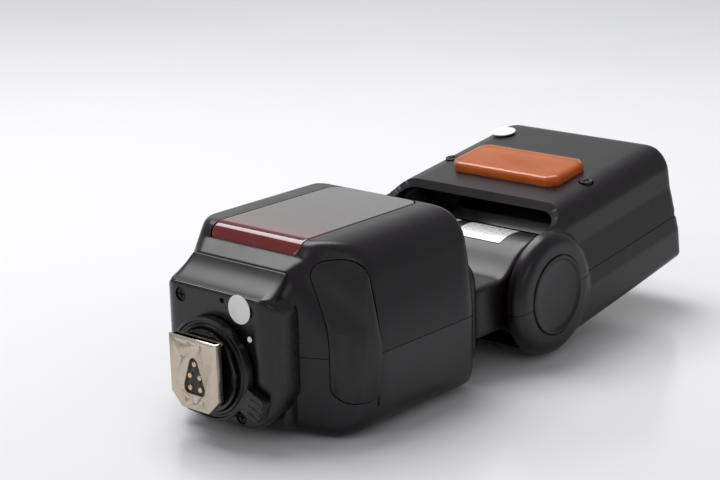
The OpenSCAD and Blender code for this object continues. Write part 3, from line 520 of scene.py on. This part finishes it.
# Silvered label: foil with faint darker blocks where a rating plate would be printed, no lettering
def labelFinish():
    material, tree, shader, place = blankFinish("silvered polyester label", "label", {"Metallic": 0.35})
    blocks = {"Scale": 1000 / 2.4, "Color1": fromHex("#b9b7b8"), "Color2": fromHex("#7d7a7c"),
              "Mortar": fromHex("#c9c8c9"), "Mortar Size": 0.12, "Bias": -0.2}
    cells = addNode(tree, "ShaderNodeTexBrick", blocks, {"Vector": place})
    wire(tree, shader, cells.outputs[0], ranged(tree, noise(tree, 900.0, 2.0, place), 0.3, 0.7, 0.22, 0.4))
    return material


silverLabel = labelFinish()
print("finishes made")

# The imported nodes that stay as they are, mostly out of sight, take their finish here
nodeFinish = {
    "af_lamp": lampRed, "swivel_bearing": brightSteel, "main_board": boardGreen, "key_board": boardGreen,
    "main_capacitor": sleeveBlack, "transformer": windingTape, "lcd_module": displayGrey,
    "battery_tray": darkPlastic, "battery_cells": cellWrap, "battery_contacts": springBronze,
    "hinge_pins": blackSteel, "socket_panel": darkPlastic, "sync_socket": shoeNickel, "power_socket": darkPlastic,
    "door_contact": springBronze, "door_latch": darkPlastic, "swivel_clip": brightSteel, "tilt_shaft": brightSteel,
    "panel_tray": darkPlastic, "guide_rods": brightSteel, "zoom_motor": brightSteel, "lead_screw": brightSteel,
    "zoom_carriage": darkPlastic, "reflector": mirrorMetal, "xenon_tube": tubeGlass, "lock_pin": brightSteel}
for node, finish in nodeFinish.items():
    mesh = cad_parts[node].data
    mesh.materials.clear()
    mesh.materials.append(finish)

# Body: the room common to three outlines, seen from the side, along its length and from the front
body = {"startX": 15.0, "endX": 82.8, "height": 56.6, "half": 38.5, "seamZ": 24.5, "wall": 2.2, "ease": 3.2,
        "ridge": (20.0, 48.7), "lip": (25.0, 51.7), "nose": 20.5, "noseTop": 18.5, "spread": 0.845, "lean": 0.482}
bodySide = np.concatenate([
    [[body["startX"], 4.0], [26.0, 0.0]], arc((body["endX"] - 4, 4), 4, -90, 0),
    arc((body["endX"] - 4, body["height"] - 4), 4, 0, 90), arc((30.5, body["height"] - 4), 4, 90, 150),
    [body["lip"], body["ridge"]], arc((10.8, 53.1), 10.2, -26, -65.7)])
bodySection = mirrored(np.concatenate([
    arc((body["half"] - 10.5, 9.5), 9.5, -90, 0), [[body["half"], body["seamZ"]]],
    arc((body["half"] - 18.5, body["height"] - 14), 14, 12, 90)]))
planHalf = np.concatenate([
    [[body["startX"], body["nose"]], [body["ridge"][0], body["nose"]]],
    arc((41, body["half"] - 20), 20, 155, 90), arc((body["endX"] - 8, body["half"] - 8), 8, 90, 0)])
bodyPlan = np.concatenate([planHalf, planHalf[::-1] * [1, -1]])
sideTable = depthTable(bodySide, (0, -12), (100, 70))
sectionTable = depthTable(bodySection, (-50, -12), (50, 70))
planTable = depthTable(bodyPlan, (0, -50), (100, 50))
bodyMiddle = (50, 0, 27)


def bodyDepth(points):
    x, y, z = points.T
    across = easedMax(sideTable(x, z), sectionTable(y, z), body["ease"])
    around = easedMax(across, planTable(x, y), body["ease"])
    facet = np.abs(y) - body["noseTop"] - body["spread"] * (x - body["ridge"][0]) \
        - body["lean"] * (body["ridge"][1] - z)
    return easedMax(around, facet / math.sqrt(1 + body["spread"] ** 2 + body["lean"] ** 2), 2.2)


# Height of the front face over a place
def frontFace(x, y):
    start = np.stack([x, y, np.full_like(x, 30.0)], -1)
    return 30 + reachOf(bodyDepth, start, np.tile([0.0, 0, 1], (len(x), 1)), 40)


# Glossy front sheet, let into the shell and wrapped over the brow
panel = {"nearX": 25.3, "farX": 79.8, "nearHalf": 17.3, "farHalf": 17.0, "nearRound": 1.6, "farRound": 4.5,
         "gap": 0.28, "thick": 1.3, "edge": 0.35, "proud": 0.05}


def sheetOutline(room):
    near, far = panel["nearX"] - room, panel["farX"] + room
    nearHalf, farHalf = panel["nearHalf"] + room, panel["farHalf"] + room
    corners = [(near, -nearHalf), (far, -farHalf), (far, farHalf), (near, nearHalf)]
    radii = [panel["nearRound"], panel["farRound"], panel["farRound"], panel["nearRound"]]
    return evenly(roundedOutline(corners, radii), 200)


frontPanel = newPiece("front_sheet", plateForm(
    sheetOutline(0), lambda x, y: frontFace(x, y) + panel["proud"], panel["thick"], panel["edge"], rings=40))
dress(frontPanel, "body", panelGloss, "front_panel")
print("front sheet made")


# Swap of axes for forms drawn on a side, on an end face or from below
def onSide(sign):
    return lambda points: inBody(np.stack([points[..., 0], sign * points[..., 2], points[..., 1]], -1))


def onEnd(points):     # outline in y and z, height towards -X
    return inBody(np.stack([-points[..., 2], points[..., 0], points[..., 1]], -1))


def onBack(points):    # outline in x and y, height towards -Z
    return inBody(points * [1, 1, -1])


def alongX(shift, y, z):   # turned forms laid along X, their axis at y and z
    return lambda points: inBody(np.stack([points[..., 2] + shift, points[..., 0] + y, points[..., 1] + z], -1))


# Openings in the shells, the same as the pieces that fill them with a little room
doorOpen = {"low": (38.5, 12.7), "high": (76.1, 47.2), "round": 0.6}
coverOpen = {"low": (24.1, 10.7), "high": (37.4, 51.3), "round": 5.3}
keys = {"key_mode": (48.3, -16, 4, 9), "key_light": (48.3, 0, 4, 9), "key_zoom": (48.3, 16, 4, 9),
        "key_up": (42.3, 0, 4.4, 4.4), "key_down": (28.5, 0, 4.4, 4.4), "key_left": (35.4, -6.9, 4.4, 4.4),
        "key_right": (35.4, 6.9, 4.4, 4.4)}
roundKeys = {"key_ok": (35.4, 0, 3.0), "key_power": (29.8, -18, 3.4), "key_pilot": (29.8, 18, 3.4)}
caseScrews = [(74.8, 25.2), (74.8, -25.2), (29.3, 25.6), (29.3, -25.6)]
display = {"x": 63.9, "long": 24, "wide": 44, "rim": 1.5}


def circle(x, y, radius, steps=40):
    return arc((x, y), radius, 0, 360, steps)[:-1]


def centred(x, y, long, wide, radius):
    return rectangle((x - long / 2, y - wide / 2), (x + long / 2, y + wide / 2), radius)


def bodyTools():
    above = 3   # the pocket's tool starts this far over the face
    pocket = plateForm(sheetOutline(panel["gap"]), lambda x, y: frontFace(x, y) + above,
                       above + panel["thick"] + 0.12, 0, rings=40)
    tools = [newPiece("tool", castForm(lambda p: bodyDepth(p) + body["wall"], bodyMiddle, 60)),
             newPiece("tool", pocket),
             cutter(rectangle(doorOpen["low"], doorOpen["high"], doorOpen["round"]), 25, 60, onSide(1)),
             cutter(rectangle(coverOpen["low"], coverOpen["high"], coverOpen["round"]), 21, 60, onSide(-1)),
             cutter(circle(0, hinge[2], 13.0, 72), -100, -60, onEnd)]
    for x, y, long, wide in keys.values():
        tools.append(cutter(centred(x, y, long + 0.3, wide + 0.3, 1.3), -5, 1, onBack))
    for x, y, radius in roundKeys.values():
        tools.append(cutter(circle(x, y, radius + 0.15), -5, 1, onBack))
    for x, y in caseScrews:
        tools.append(cutter(circle(x, y, 2.3), -1.2, 1, onBack))
    x, long, wide, rim = (display[k] for k in ("x", "long", "wide", "rim"))
    tools.append(cutter(centred(x, 0, long - 2 * rim, wide - 2 * rim, 0.8), -5, 1, onBack))
    tools.append(cutter(centred(x, 0, long + 0.1, wide + 0.1, 0.1), -1.5, 1, onBack))
    return tools


def bodyHalf(name, low, high, node):
    shell = newPiece(name, castForm(bodyDepth, bodyMiddle, 110))
    combine(shell, bodyTools())
    combine(shell, [newPiece("tool", blockForm((0, -60, low), (120, 60, high)))], "INTERSECT", 30)
    return dress(shell, "body", caseAbs, node)


bodyHalf("front_case_half", body["seamZ"] + 0.1, 80, "body_front_shell")
bodyHalf("rear_case_half", -20, body["seamZ"] - 0.1, "body_rear_shell")
print("body shells made")

# Foot block: a flat face whose sides roll back, standing in front of the shell
block = {"x": 9.0, "half": 21.5, "roll": 6.0, "thick": 5.8, "edge": 0.9}


def rolledBack(face, half, roll):
    def lift(y, z):
        over = np.clip(np.abs(y) - (half - roll), 0, roll)
        return -(face + roll - np.sqrt(roll * roll - over * over * 0.98))
    return lift


blockOutline = evenly(np.concatenate([
    arc((10.5, 15), 11, -90, 0, 10), arc((16.5, 38), 5, 0, 90, 8),
    arc((-16.5, 38), 5, 90, 180, 8), arc((-10.5, 15), 11, 180, 270, 10)]), 160)
blockHoles = [(13.3, 39.3, 2.1), (-13.3, 39.3, 2.1), (9, 7.2, 2.1), (-9, 7.2, 2.1), (-3.3, 40.6, 0.8)]
blockFace = rolledBack(block["x"], block["half"], block["roll"])
footBlock = newPiece("foot_face", plateForm(blockOutline, blockFace, block["thick"], block["edge"], rings=24), onEnd)
combine(footBlock, [cutter(circle(y, z, radius), -11, -4, onEnd) for y, z, radius in blockHoles])
dress(footBlock, "body", footNylon, "foot_block")

# Cove between the foot block and the ridge: a hollow sheet that rises by a power of the way back,
# and falls off towards its sides
cove = {"nearX": 9.6, "farX": 19.6, "lowZ": 43.15, "highZ": 48.75, "power": 1.8, "nearHalf": 20.4, "farHalf": 18.5,
        "fallIn": 1.5, "fallMost": 4, "fall": 0.11}


def coveLift(x, y):
    way = np.clip((x - cove["nearX"]) / (cove["farX"] - cove["nearX"]), 0, 1)
    over = np.clip(np.abs(y) - cove["farHalf"] + cove["fallIn"], 0, cove["fallMost"])
    return cove["lowZ"] + (cove["highZ"] - cove["lowZ"]) * way ** cove["power"] - cove["fall"] * over ** 2


coveOutline = evenly(roundedOutline([
    (cove["nearX"], -cove["nearHalf"]), (cove["farX"], -cove["farHalf"]), (cove["farX"], cove["farHalf"]),
    (cove["nearX"], cove["nearHalf"])], [3.5, 0.5, 0.5, 3.5]), 240)
footCove = newPiece("foot_cove", plateForm(coveOutline, coveLift, 2.2, 0.4, rings=30))
dress(footCove, "body", caseAbs, slot="black_abs")
print("foot block made")

# Shoe: nickel plate with its top edge folded over, dimples, and the insert behind it
shoe = {"z": 20.5, "foldHalf": 9.15, "foldLow": 29.9, "foldHigh": 31.0, "foldThick": 3.2}
dimples = [(-3.2, 29.2), (1.6, 29.4), (5.2, 29.0), (4.6, 25.0), (-3.4, 12.6), (0.4, 12.0), (3.6, 12.8)]
dimpleProfile = [(0, -0.5), (0.45, -0.3), (0.55, 0.0), (0.45, 0.3), (0, 0.5)]
dimpleTools = [newPiece("tool", turnedForm(dimpleProfile, 16), alongX(-0.05, y, z)) for y, z in dimples]
refined("shoe_plate", 0.35, "body", shoeNickel, tools=dimpleTools, name="shoe_plate_pressing")
foldOutline = evenly(rectangle((-shoe["foldHalf"], shoe["foldLow"]), (shoe["foldHalf"], shoe["foldHigh"]), 0.5), 80)
fold = newPiece("shoe_plate_fold", plateForm(foldOutline, level(0.0), shoe["foldThick"], 0.5, 0.4, rings=6), onEnd)
dress(fold, "body", shoeNickel)
refined("shoe_block", 0.25, "body", footNylon)
refined("contact_pins", 0.3, "contacts", contactGold)
refined("foot_screws", 0.15, "body", blackSteel)
refined("shell_screws", 0.15, "body", blackSteel)

# Locking ring, turned with a raised rim, and its ribbed lever
ring = {"shift": 0.8, "lever": 205}
ringProfile = [(12.1, 7.7), (12.1, 5.1), (12.5, 4.75), (13.2, 4.75), (13.5, 5.15), (14.0, 5.15), (14.3, 4.7),
               (14.8, 4.7), (15.15, 5.1), (15.15, 7.4), (14.8, 7.75), (12.1, 7.7)]
ringPiece = newPiece("lock_ring_turned", turnedForm(ringProfile, 120), alongX(ring["shift"], 0, shoe["z"]))
dress(ringPiece, "lock_ring", footNylon, "lock_ring")


def atLever(points):   # outline across and along the lever, height towards -X
    turn = math.radians(ring["lever"])
    along, across = points[..., 1], points[..., 0]
    return inBody(np.stack([ring["shift"] - points[..., 2], along * math.cos(turn) - across * math.sin(turn),
                            along * math.sin(turn) + across * math.cos(turn) + shoe["z"]], -1))


# The lever's face is stepped by ribs: height is a rounded wave across the grip
def leverLift(across, along):
    grip = np.clip((along - 17.0) / 1.0, 0, 1)
    return -4.75 + 0.5 * grip * np.maximum(np.cos(across * 2 * math.pi / 2.3), -0.2)


leverOutline = roundedOutline([(-4, 14.2), (4, 14.2), (4, 22.3), (-4, 22.3)], [0.3, 0.3, 1.6, 1.6])
lever = newPiece("lock_lever", plateForm(evenly(leverOutline, 120), leverLift, 2.9, 0.5, 0.3, rings=24), atLever)
dress(lever, "lock_ring", footNylon)
print("shoe made")

# Blank sticker on the foot face, and under it a small white dot that is a painted highlight: the glint of a small
# metal part, painted as a matt white mark
faceMarks = {"round_sticker": {"y": -10.0, "z": 39.2, "radius": 4.2, "steps": 64, "proud": 0.12, "rings": 6},
             # the small white dot is a painted highlight, standing where a small metal part catches the light
             "painted_glint_dot": {"y": -13.6, "z": 31.2, "radius": 0.85, "steps": 24, "proud": 0.1, "rings": 4}}
for name, spot in faceMarks.items():
    face = rolledBack(block["x"] - spot["proud"], block["half"], block["roll"])
    outline = circle(spot["y"], spot["z"], spot["radius"], spot["steps"])
    mark = newPiece(name, plateForm(outline, face, 0.1, 0.03, rings=spot["rings"]), onEnd)
    dress(mark, "body", stickerPaper, slot="label")

# Battery door, socket cover and display window
refined("battery_door", 0.3, "battery_door", caseAbs, angle=50)
refined("socket_cover", 0.3, "socket_cover", coverRubber, angle=50)
refined("lcd_window", 0.2, "body", displayClear)

# Keys with softened edges, and plain marks printed on them
for node in [*keys, *roundKeys]:
    refined(node, 0.35, node, pilotTint if node == "key_pilot" else keyRubber)
ink = {"face": -0.34, "thick": 0.12, "edge": 0.04}


def printMark(name, key, outline):
    form = plateForm(evenly(outline, 48), level(ink["face"]), ink["thick"], ink["edge"], rings=4)
    dress(newPiece(name, form, onBack), key, keyMark, slot="key_rubber")


arrows = {"key_up": 0, "key_left": 270, "key_down": 180, "key_right": 90}
for node, turn in arrows.items():
    x, y = keys[node][:2]
    corners = np.stack([np.array([1.3, -0.7, -0.7]), np.array([0, 1.1, -1.1])], -1)
    a = math.radians(turn)
    corners = corners @ np.array([[math.cos(a), math.sin(a)], [-math.sin(a), math.cos(a)]]) + [x, y]
    printMark(node + "_mark", node, roundedOutline(corners, [0.2] * 3))
for node, count in [("key_mode", 1), ("key_light", 2), ("key_zoom", 3)]:
    x, y = keys[node][:2]
    for k in range(count):
        printMark(f"{node}_bar{k}", node, centred(x + (k - (count - 1) / 2) * 1.1, y, 0.5, 4.4, 0.2))
print("keys made")

# Neck: swivel plate, waist and drum
neck = {"plateX": 84.2, "thick": 5.0, "half": 31.0, "plateHalf": 18.5, "round": 9, "drum": 17.0, "waist": 8.0}
swivelPlate = newPiece("swivel_plate", plateForm(evenly(rectangle(
    (-neck["half"], hinge[2] - neck["plateHalf"]), (neck["half"], hinge[2] + neck["plateHalf"]), neck["round"]), 160),
    level(-neck["plateX"]), neck["thick"], 0.5, 1.6, rings=12), onEnd)


def neckDepth(points):
    x, y, z = points[..., 0] - hinge[0], np.abs(points[..., 1]), points[..., 2] - hinge[2]
    drumPart = np.hypot(x, z) - neck["drum"]
    ends = np.maximum(x - 2, neck["plateX"] + neck["thick"] - 0.5 - hinge[0] - x)
    waistPart = np.maximum(ends, np.abs(z) - neck["waist"])
    return easedMax(easedMin(drumPart, waistPart, 5.0), y - neck["half"], 1.6)


neckBlock = newPiece("neck_drum", castForm(neckDepth, (hinge[0] - 6, 0, hinge[2]), 90))
hubSize = {"inner": 6, "outer": 9, "nearX": 74.6, "farX": 92}
hubProfile = [(hubSize["inner"], hubSize["nearX"]), (hubSize["inner"], hubSize["farX"]),
              (hubSize["outer"], hubSize["farX"]), (hubSize["outer"], hubSize["nearX"]),
              (hubSize["inner"], hubSize["nearX"])]
hub = newPiece("swivel_hub", turnedForm(hubProfile, 64), alongX(0, 0, hinge[2]))
dress(neckBlock, "neck", caseAbs, "neck_frame")
dress(swivelPlate, "neck", caseAbs)
dress(hub, "neck", darkPlastic)


# Labels lie on the drum: outline across by arc length, height along the radius
def onDrum(points):
    turn = math.pi / 2 + points[..., 1] / neck["drum"]
    radius = neck["drum"] + points[..., 2]
    return inBody(np.stack([hinge[0] + radius * np.cos(turn), points[..., 0], hinge[2] + radius * np.sin(turn)], -1))


for name, y0, y1, nodes in [("rating_label", -21.5, -3.0, ["neck_label"]), ("serial_label", 1.5, 21.5, [])]:
    outline = evenly(rectangle((y0, -3.5), (y1, 7.5), 0.8), 96)
    label = newPiece(name, plateForm(outline, level(0.2), 0.2, 0.05, rings=14), onDrum)
    dress(label, "neck", silverLabel, *nodes, slot="label")
print("neck made")

# Head: side outline with the round ear end, section with the roof, both eased where they meet
head = {"long": 73.0, "half": 37.6, "top": 24.6, "low": 15.6, "ear": 19.6, "earHalf": 38.6, "wall": 2.0, "ease": 3.0,
        "earEase": 4.5, "slotHalf": 31.45, "slotLip": 12.0, "slotLow": 11.2, "lip": 4.2, "cap": 12.6}
sideSlope = math.degrees(math.atan2(head["top"] - head["ear"], 14))
headSide = np.concatenate([
    arc((0, 0), head["ear"], 90 + sideSlope, 270, 40), [[71.5, -head["low"] - 0.06]],
    [[head["long"], -head["low"] + 1.2], [head["long"], head["top"] - 1.2],
     [head["long"] - 1.2, head["top"]], [14, head["top"]]]])
headHalf = np.concatenate([
    arc((head["half"] - 6.4, -head["ear"] + 6.4), 6.4, -90, 0), [[head["half"], -5], [35.2, 10]],
    arc((25.5, head["top"] - 9.5), 9.5, 10, 90)])
headSideTable = depthTable(headSide, (-30, -32), (85, 36))
headSectionTable = depthTable(mirrored(headHalf), (-48, -32), (48, 36))


def headDepth(points):
    u, y, w = points.T
    main = easedMax(headSideTable(u, w), headSectionTable(y, w), head["ease"])
    ear = easedMax(np.hypot(u, w) - head["ear"], np.abs(y) - head["earHalf"], head["earEase"])
    return easedMin(main, ear, 0.8)


# Way in for the neck; it widens near the surface, which rounds its border
def slotDepth(points):
    u, y, w = points.T
    plan = easedMax(u - head["slotLip"], np.abs(y) - head["slotHalf"], 7.0)
    room = np.maximum(np.maximum(plan, -head["slotLow"] - w), np.maximum(-34 - u, w - 40))
    near = np.clip((headDepth(points) + head["lip"]) / head["lip"], 0, 1)
    return room - 0.6 * head["lip"] * near ** 2.5


def cavityDepth(points):
    u, y, w = points.T
    main = easedMax(headSideTable(u, w), headSectionTable(y, w), head["ease"]) + head["wall"]
    ears = np.maximum(head["slotHalf"] - np.abs(y), np.hypot(u, w) - head["ear"] - 1)
    return np.maximum(main, -ears)


lensWall = 2.1
sectionInside = np.stack([mirrored(headHalf)[:, 0] * (1 - lensWall / head["half"]),
                          np.clip(mirrored(headHalf)[:, 1], -head["low"] + lensWall, head["top"] - lensWall)], -1)


def alongHead(points):   # outline in y and w, height along u
    return inHead(np.stack([points[..., 2], points[..., 0], points[..., 1]], -1))


def acrossHead(points):  # outline in u and w, height along y
    return inHead(np.stack([points[..., 0], points[..., 2], points[..., 1]], -1))


headMiddle = (27, 0, 2)
roofScrews = [(34.5, 27.5), (34.5, -27.5)]
floorScrews = [(26, 28.8), (26, -28.8), (60, 28.8), (60, -28.8)]


def headTools():
    tools = [newPiece("tool", castForm(cavityDepth, headMiddle, 70), inHead),
             newPiece("tool", castForm(slotDepth, (-6, 0, 10), 110), inHead),
             cutter(sectionInside, 60, 80, alongHead),
             cutter(circle(0, 0, 4.1), -60, 60, acrossHead),
             cutter(rectangle((26.5, -20), (43.5, 20), 1), 10, 40, inHead)]
    for sign in (-1, 1):
        tools.append(cutter(circle(0, 0, head["cap"] + 0.35, 96), 37.3 * sign, 45 * sign, acrossHead))
        tools.append(cutter(rectangle((70.4, -1.0), (80, 1.4), 0.5), 35.5 * sign, 45 * sign, acrossHead))
    for u, y in roofScrews:
        tools.append(cutter(circle(u, y, 2.5), head["top"] - 2.6, 40, inHead))
    for u, y in floorScrews:
        depth = head["ear"] - u * (head["ear"] - head["low"]) / head["long"]
        tools.append(cutter(circle(u, y, 2.3), -40, -depth + 0.9, inHead))
    return tools


def headHalfShell(name, low, high, node):
    shell = newPiece(name, castForm(headDepth, headMiddle, 120), inHead)
    combine(shell, headTools())
    combine(shell, [newPiece("tool", blockForm((-60, -60, low), (120, 60, high)), inHead)], "INTERSECT", 30)
    return dress(shell, "head", caseAbs, node)


headHalfShell("head_roof_half", 0.1, 60, "head_top_shell")
headHalfShell("head_floor_half", -60, -0.1, "head_bottom_shell")
print("head shells made")

# Round caps over the tilt axis: a shallow dish with a rolled rim
capProfile = [(0, 37.35), (12.6, 37.35), (12.6, 38.75), (12.35, 39.05), (12.0, 39.1), (11.6, 38.95), (11.3, 38.6),
              (10.4, 38.35), (6.0, 38.2), (3.0, 38.15), (0, 38.13)]
for sign, side in ((-1, "near"), (1, "far")):
    cap = newPiece("ear_cap_" + side, turnedForm(capProfile, 96),
                   lambda p, sign=sign: inHead(np.stack([p[..., 0], sign * p[..., 2], p[..., 1]], -1)))
    dress(cap, "head", caseAbs, *(["hinge_caps"] if sign < 0 else []))

refined("head_screws", 0.15, "head", blackSteel)
refined("lens_bezel", 0.4, "head", darkPlastic)
refined("wide_panel", 0.2, "wide_panel", panelClear)
refined("bounce_card", 0.15, "bounce_card", cardWhite)

# Amber block on the roof: corners cut, sides sloped by the rolled rim
amber = {"u0": 25.0, "u1": 45.0, "half": 21.5, "cut": 3.0, "rise": 2.4}
u0, u1, h, c = amber["u0"], amber["u1"], amber["half"], amber["cut"]
amberCorners = [(u0 + c, -h), (u1 - c, -h), (u1, -h + c), (u1, h - c),
                (u1 - c, h), (u0 + c, h), (u0, h - c), (u0, -h + c)]
amberOutline = evenly(roundedOutline(amberCorners, [0.6] * 8, 4), 200)
amberBlock = newPiece("amber_block", plateForm(
    amberOutline, level(head["top"] + amber["rise"]), amber["rise"] + 1.2, 1.3, rings=18), inHead)
dress(amberBlock, "head", amberTint, "amber_window")

# Fresnel lens: rings pressed into the sheet, each a slope and a step of 1.1 mm pitch
lens = {"u": 71.2, "thick": 1.5, "half": 29.9, "low": -11.4, "high": 15.9, "pitch": 1.1, "relief": 0.22}


def fresnelLift(y, w):
    radius = np.hypot(y * 0.35, w - 1.5)
    return lens["u"] + lens["relief"] * ((radius / lens["pitch"]) % 1.0)


lensOutline = evenly(rectangle((-lens["half"], lens["low"]), (lens["half"], lens["high"]), 0.6), 360)
lensSheet = newPiece("fresnel_sheet", plateForm(lensOutline, fresnelLift, lens["thick"], 0.15, rings=120), alongHead)
dress(lensSheet, "head", lensClear, "fresnel_lens")
roofSticker = newPiece("roof_sticker", plateForm(
    circle(62, 26, 4.2, 64), level(head["top"] + 0.1), 0.25, 0.04, rings=8), inHead)
dress(roofSticker, "head", stickerPaper, slot="label")
print("head pieces made")

# Floor, soft lights and camera
floorPiece = newPiece("floor_sweep", prismForm(np.array([(-6, -6), (6, -6), (6, 6), (-6, 6)]) * 1000.0, -3, 0),
                      lambda p: p * mm + np.array([0, 0, cadLow.z]))
floorFinish, floorTree, floorShader, floorPlace = blankFinish("gloss white acrylic sheet", "floor", {"IOR": 1.49})
floorHaze = noise(floorTree, 6.0, 3.0, floorPlace)
floorTone = twoTones(floorTree, "#e3e3e6", "#e8e8ea", floorHaze)
wire(floorTree, floorShader, floorTone, ranged(floorTree, floorHaze, 0.3, 0.7, 0.16, 0.2))
floorPiece.data.materials.append(floorFinish)

world = bpy.data.worlds.new("pale room")
bpy.context.scene.world = world
world.use_nodes = True
backdrop = next(n for n in world.node_tree.nodes if n.type == "BACKGROUND")
backdrop.inputs["Color"].default_value = (0.94, 0.945, 0.955, 1)
backdrop.inputs["Strength"].default_value = 0.38


def softbox(name, place, target, size, power):
    lamp = bpy.data.lights.new(name, "AREA")
    lamp.shape, lamp.size, lamp.size_y, lamp.energy = "RECTANGLE", size[0], size[1], power
    holder = bpy.data.objects.new(name, lamp)
    holder.location = place
    holder.rotation_euler = (Vector(target) - Vector(place)).to_track_quat("-Z", "Y").to_euler()
    bpy.context.scene.collection.objects.link(holder)


softbox("overhead softbox", (0.15, 0.45, 0.95), (0, 0, 0), (0.9, 0.7), 11)
softbox("left softbox", (-0.9, 0.35, 0.55), (0, 0, 0.02), (0.5, 0.5), 1.2)
softbox("front fill", (-0.35, -1.1, 0.6), (0, 0, 0.02), (0.6, 0.4), 0.8)
softbox("rear strip", (1.15, 1.0, 0.46), (0, 0, 0.03), (1.3, 0.45), 0.9)

# Camera built from where it looks, how far it leans and its own roll
view = {"place": (-341.69, -365.56, 201.60), "turn": 41.51, "down": 16.046, "roll": -1.5046, "focal": 94.90}
turn, down, roll = (math.radians(view[k]) for k in ("turn", "down", "roll"))
forward = Vector((math.cos(turn) * math.cos(down), math.sin(turn) * math.cos(down), -math.sin(down)))
right = forward.cross(Vector((0, 0, 1))).normalized()
up = right.cross(forward)
axisX = right * math.cos(roll) + up * math.sin(roll)
axisY = up * math.cos(roll) - right * math.sin(roll)
cameraData = bpy.data.cameras.new("camera")
cameraData.lens, cameraData.sensor_width = view["focal"], 36
cameraData.clip_start, cameraData.clip_end = 0.01, 50
camera = bpy.data.objects.new("camera", cameraData)
facing = Matrix((axisX, axisY, -forward)).transposed().to_4x4()
camera.matrix_world = Matrix.Translation(Vector(inBody(np.array(view["place"])))) @ facing
bpy.context.scene.collection.objects.link(camera)
bpy.context.scene.camera = camera
bpy.context.scene.view_settings.view_transform = "Standard"
print("stage made")
